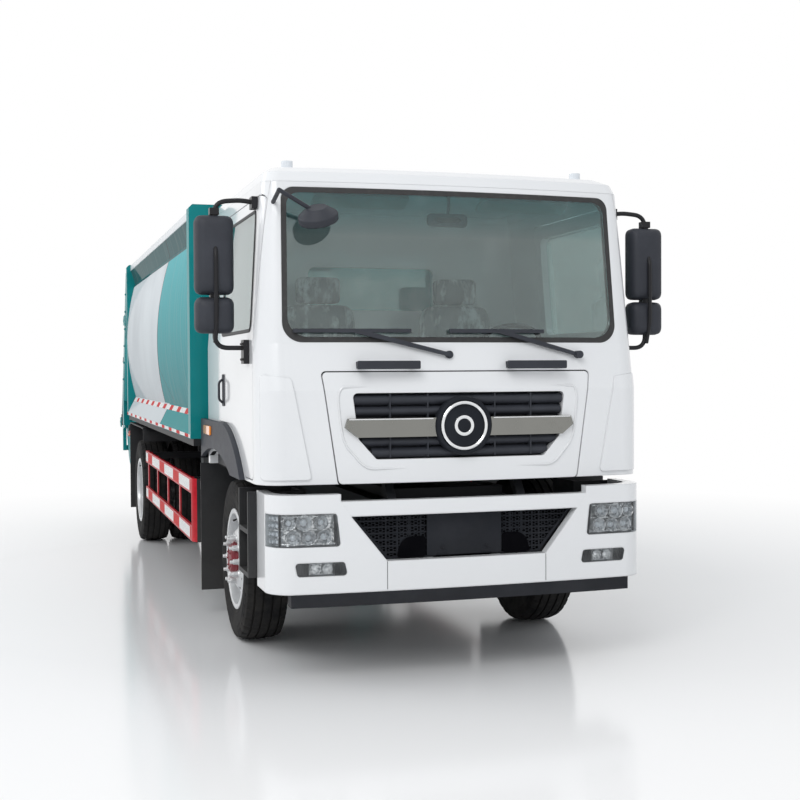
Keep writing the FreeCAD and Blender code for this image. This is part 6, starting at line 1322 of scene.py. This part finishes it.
TAIL_FLANK = ((6.165, 2.8), (6.245, 2.8), (6.87, 1.41), (6.87, 1.1), (6.7, 1.1), (6.7, 1.38), (6.165, 2.58))
PIPE_CLAMPS = ((6.4, 2.02), (6.58, 1.62), (6.66, 1.18))
TAIL_LAMPS = (("lamp_red", "lamp_clear"), ("lamp_amber", "lamp_amber"), ("lamp_red", "lamp_clear"))


def build_tail_details():
    """Box-section flanks, a hydraulic cylinder, pipes, valve block and lamp row on each side of the tail."""
    for side, word in SIDES:
        at, out = partial(spot, side), Vector((side, 0, 0))
        flank, ram, rod, ears, pipes = forms(5)
        flank.prism(TAIL_FLANK, 1.139, 1.236, beside(side))
        for index in range(6):
            share = (index + 0.5) / 6
            flank.bolt(at(1.236, 6.22 + 0.5 * share, 2.66 - 1.13 * share), out, 0.02, 0.011)
        for low, high in (((6.28, 1.3), (6.32, 2.35)), ((6.46, 1.25), (6.48, 1.9))):
            flank.sweep([at(1.14, *low), at(1.14, *high)], 0.022, 4)
        flank.finish("tail_flank_" + word, "tailgate", "body_teal", bevel=0.004)
        low, knee, high = at(1.19, 7.08, 1.16), at(1.19, 6.75, 1.86), at(1.19, 6.55, 2.285)
        along = (knee - low).normalized()
        ram.drum(low, knee, 0.04)
        ram.drum(knee - along * 0.045, knee + along * 0.012, 0.047, 0.045)
        ram.drum(low - along * 0.012, low + along * 0.05, 0.046)
        for place in (low - along * 0.04, high):
            ram.drum(place - out * 0.045, place + out * 0.04, 0.042, sides=28)
        ram.finish("tail_ram_" + word, "tailgate", "cylinder_black", bevel=0.002)
        rod.drum(knee, high, 0.022, sides=24)
        rod.finish("tail_ram_rod_" + word, "tailgate", "chrome_bar")
        for y, z, reach in ((6.5, 2.285, 0.1), (7.1, 1.12, 0.06)):
            outline = rounded_outline([(y - reach, z - 0.06), (y + 0.09, z - 0.05), (y + 0.09, z + 0.05),
                                       (y - reach, z + 0.06)], 0.03)
            for x in (1.136, 1.2315):
                ears.prism(outline, x, x + 0.01, beside(side))
            ears.drum(at(1.13, y + 0.045, z), at(1.245, y + 0.045, z), 0.017, sides=20)
        ears.finish("tail_ram_ears_" + word, "tailgate", "body_teal", bevel=0.002)
        for shift, drop in ((0.0, 0.0), (0.035, 0.03), (0.07, 0.055)):
            route = ((6.19 + shift, 2.5), (6.3 + shift, 2.2), (6.42 + shift, 1.9 - drop),
                     (6.6 + shift, 1.5 - drop), (6.62 + shift, 1.22), (6.95, 1.05 - drop))
            pipes.sweep(bend_points([at(1.158, *point) for point in route], 0.06), 0.0095, 12)
        for y, z in PIPE_CLAMPS:
            pipes.block(at(1.138, y - 0.03, z - 0.02), at(1.172, y + 0.12, z + 0.02))
        pipes.block(at(1.138, 6.24, 2.42), at(1.2, 6.42, 2.56))
        pipes.finish("tail_pipes_" + word, "tailgate", "cylinder_black", bevel=0.002)
        for index, (finish, slot) in enumerate(TAIL_LAMPS):
            lamp = Form()
            centre = at(1.105, 6.93 + 0.09 * index, 1.02 - 0.02 * index)
            lamp.drum(centre + out * 0.034, centre + out * 0.052, 0.034, 0.03)
            lamp.drum(centre + out * 0.052, centre + out * 0.056, 0.03, 0.018)
            lamp.finish("tail_spot_%s_%d" % (word, index), "tailgate", finish, slot)


place_camera()
FINISH = build_finishes()
dress_nodes()
studio()
build_tyres()
wheel_details()
build_tapes()
build_front()
build_headlamps()
build_bumper_details()
build_body_trim()
build_mirrors()
build_seats()
build_inside()
build_tail_details()
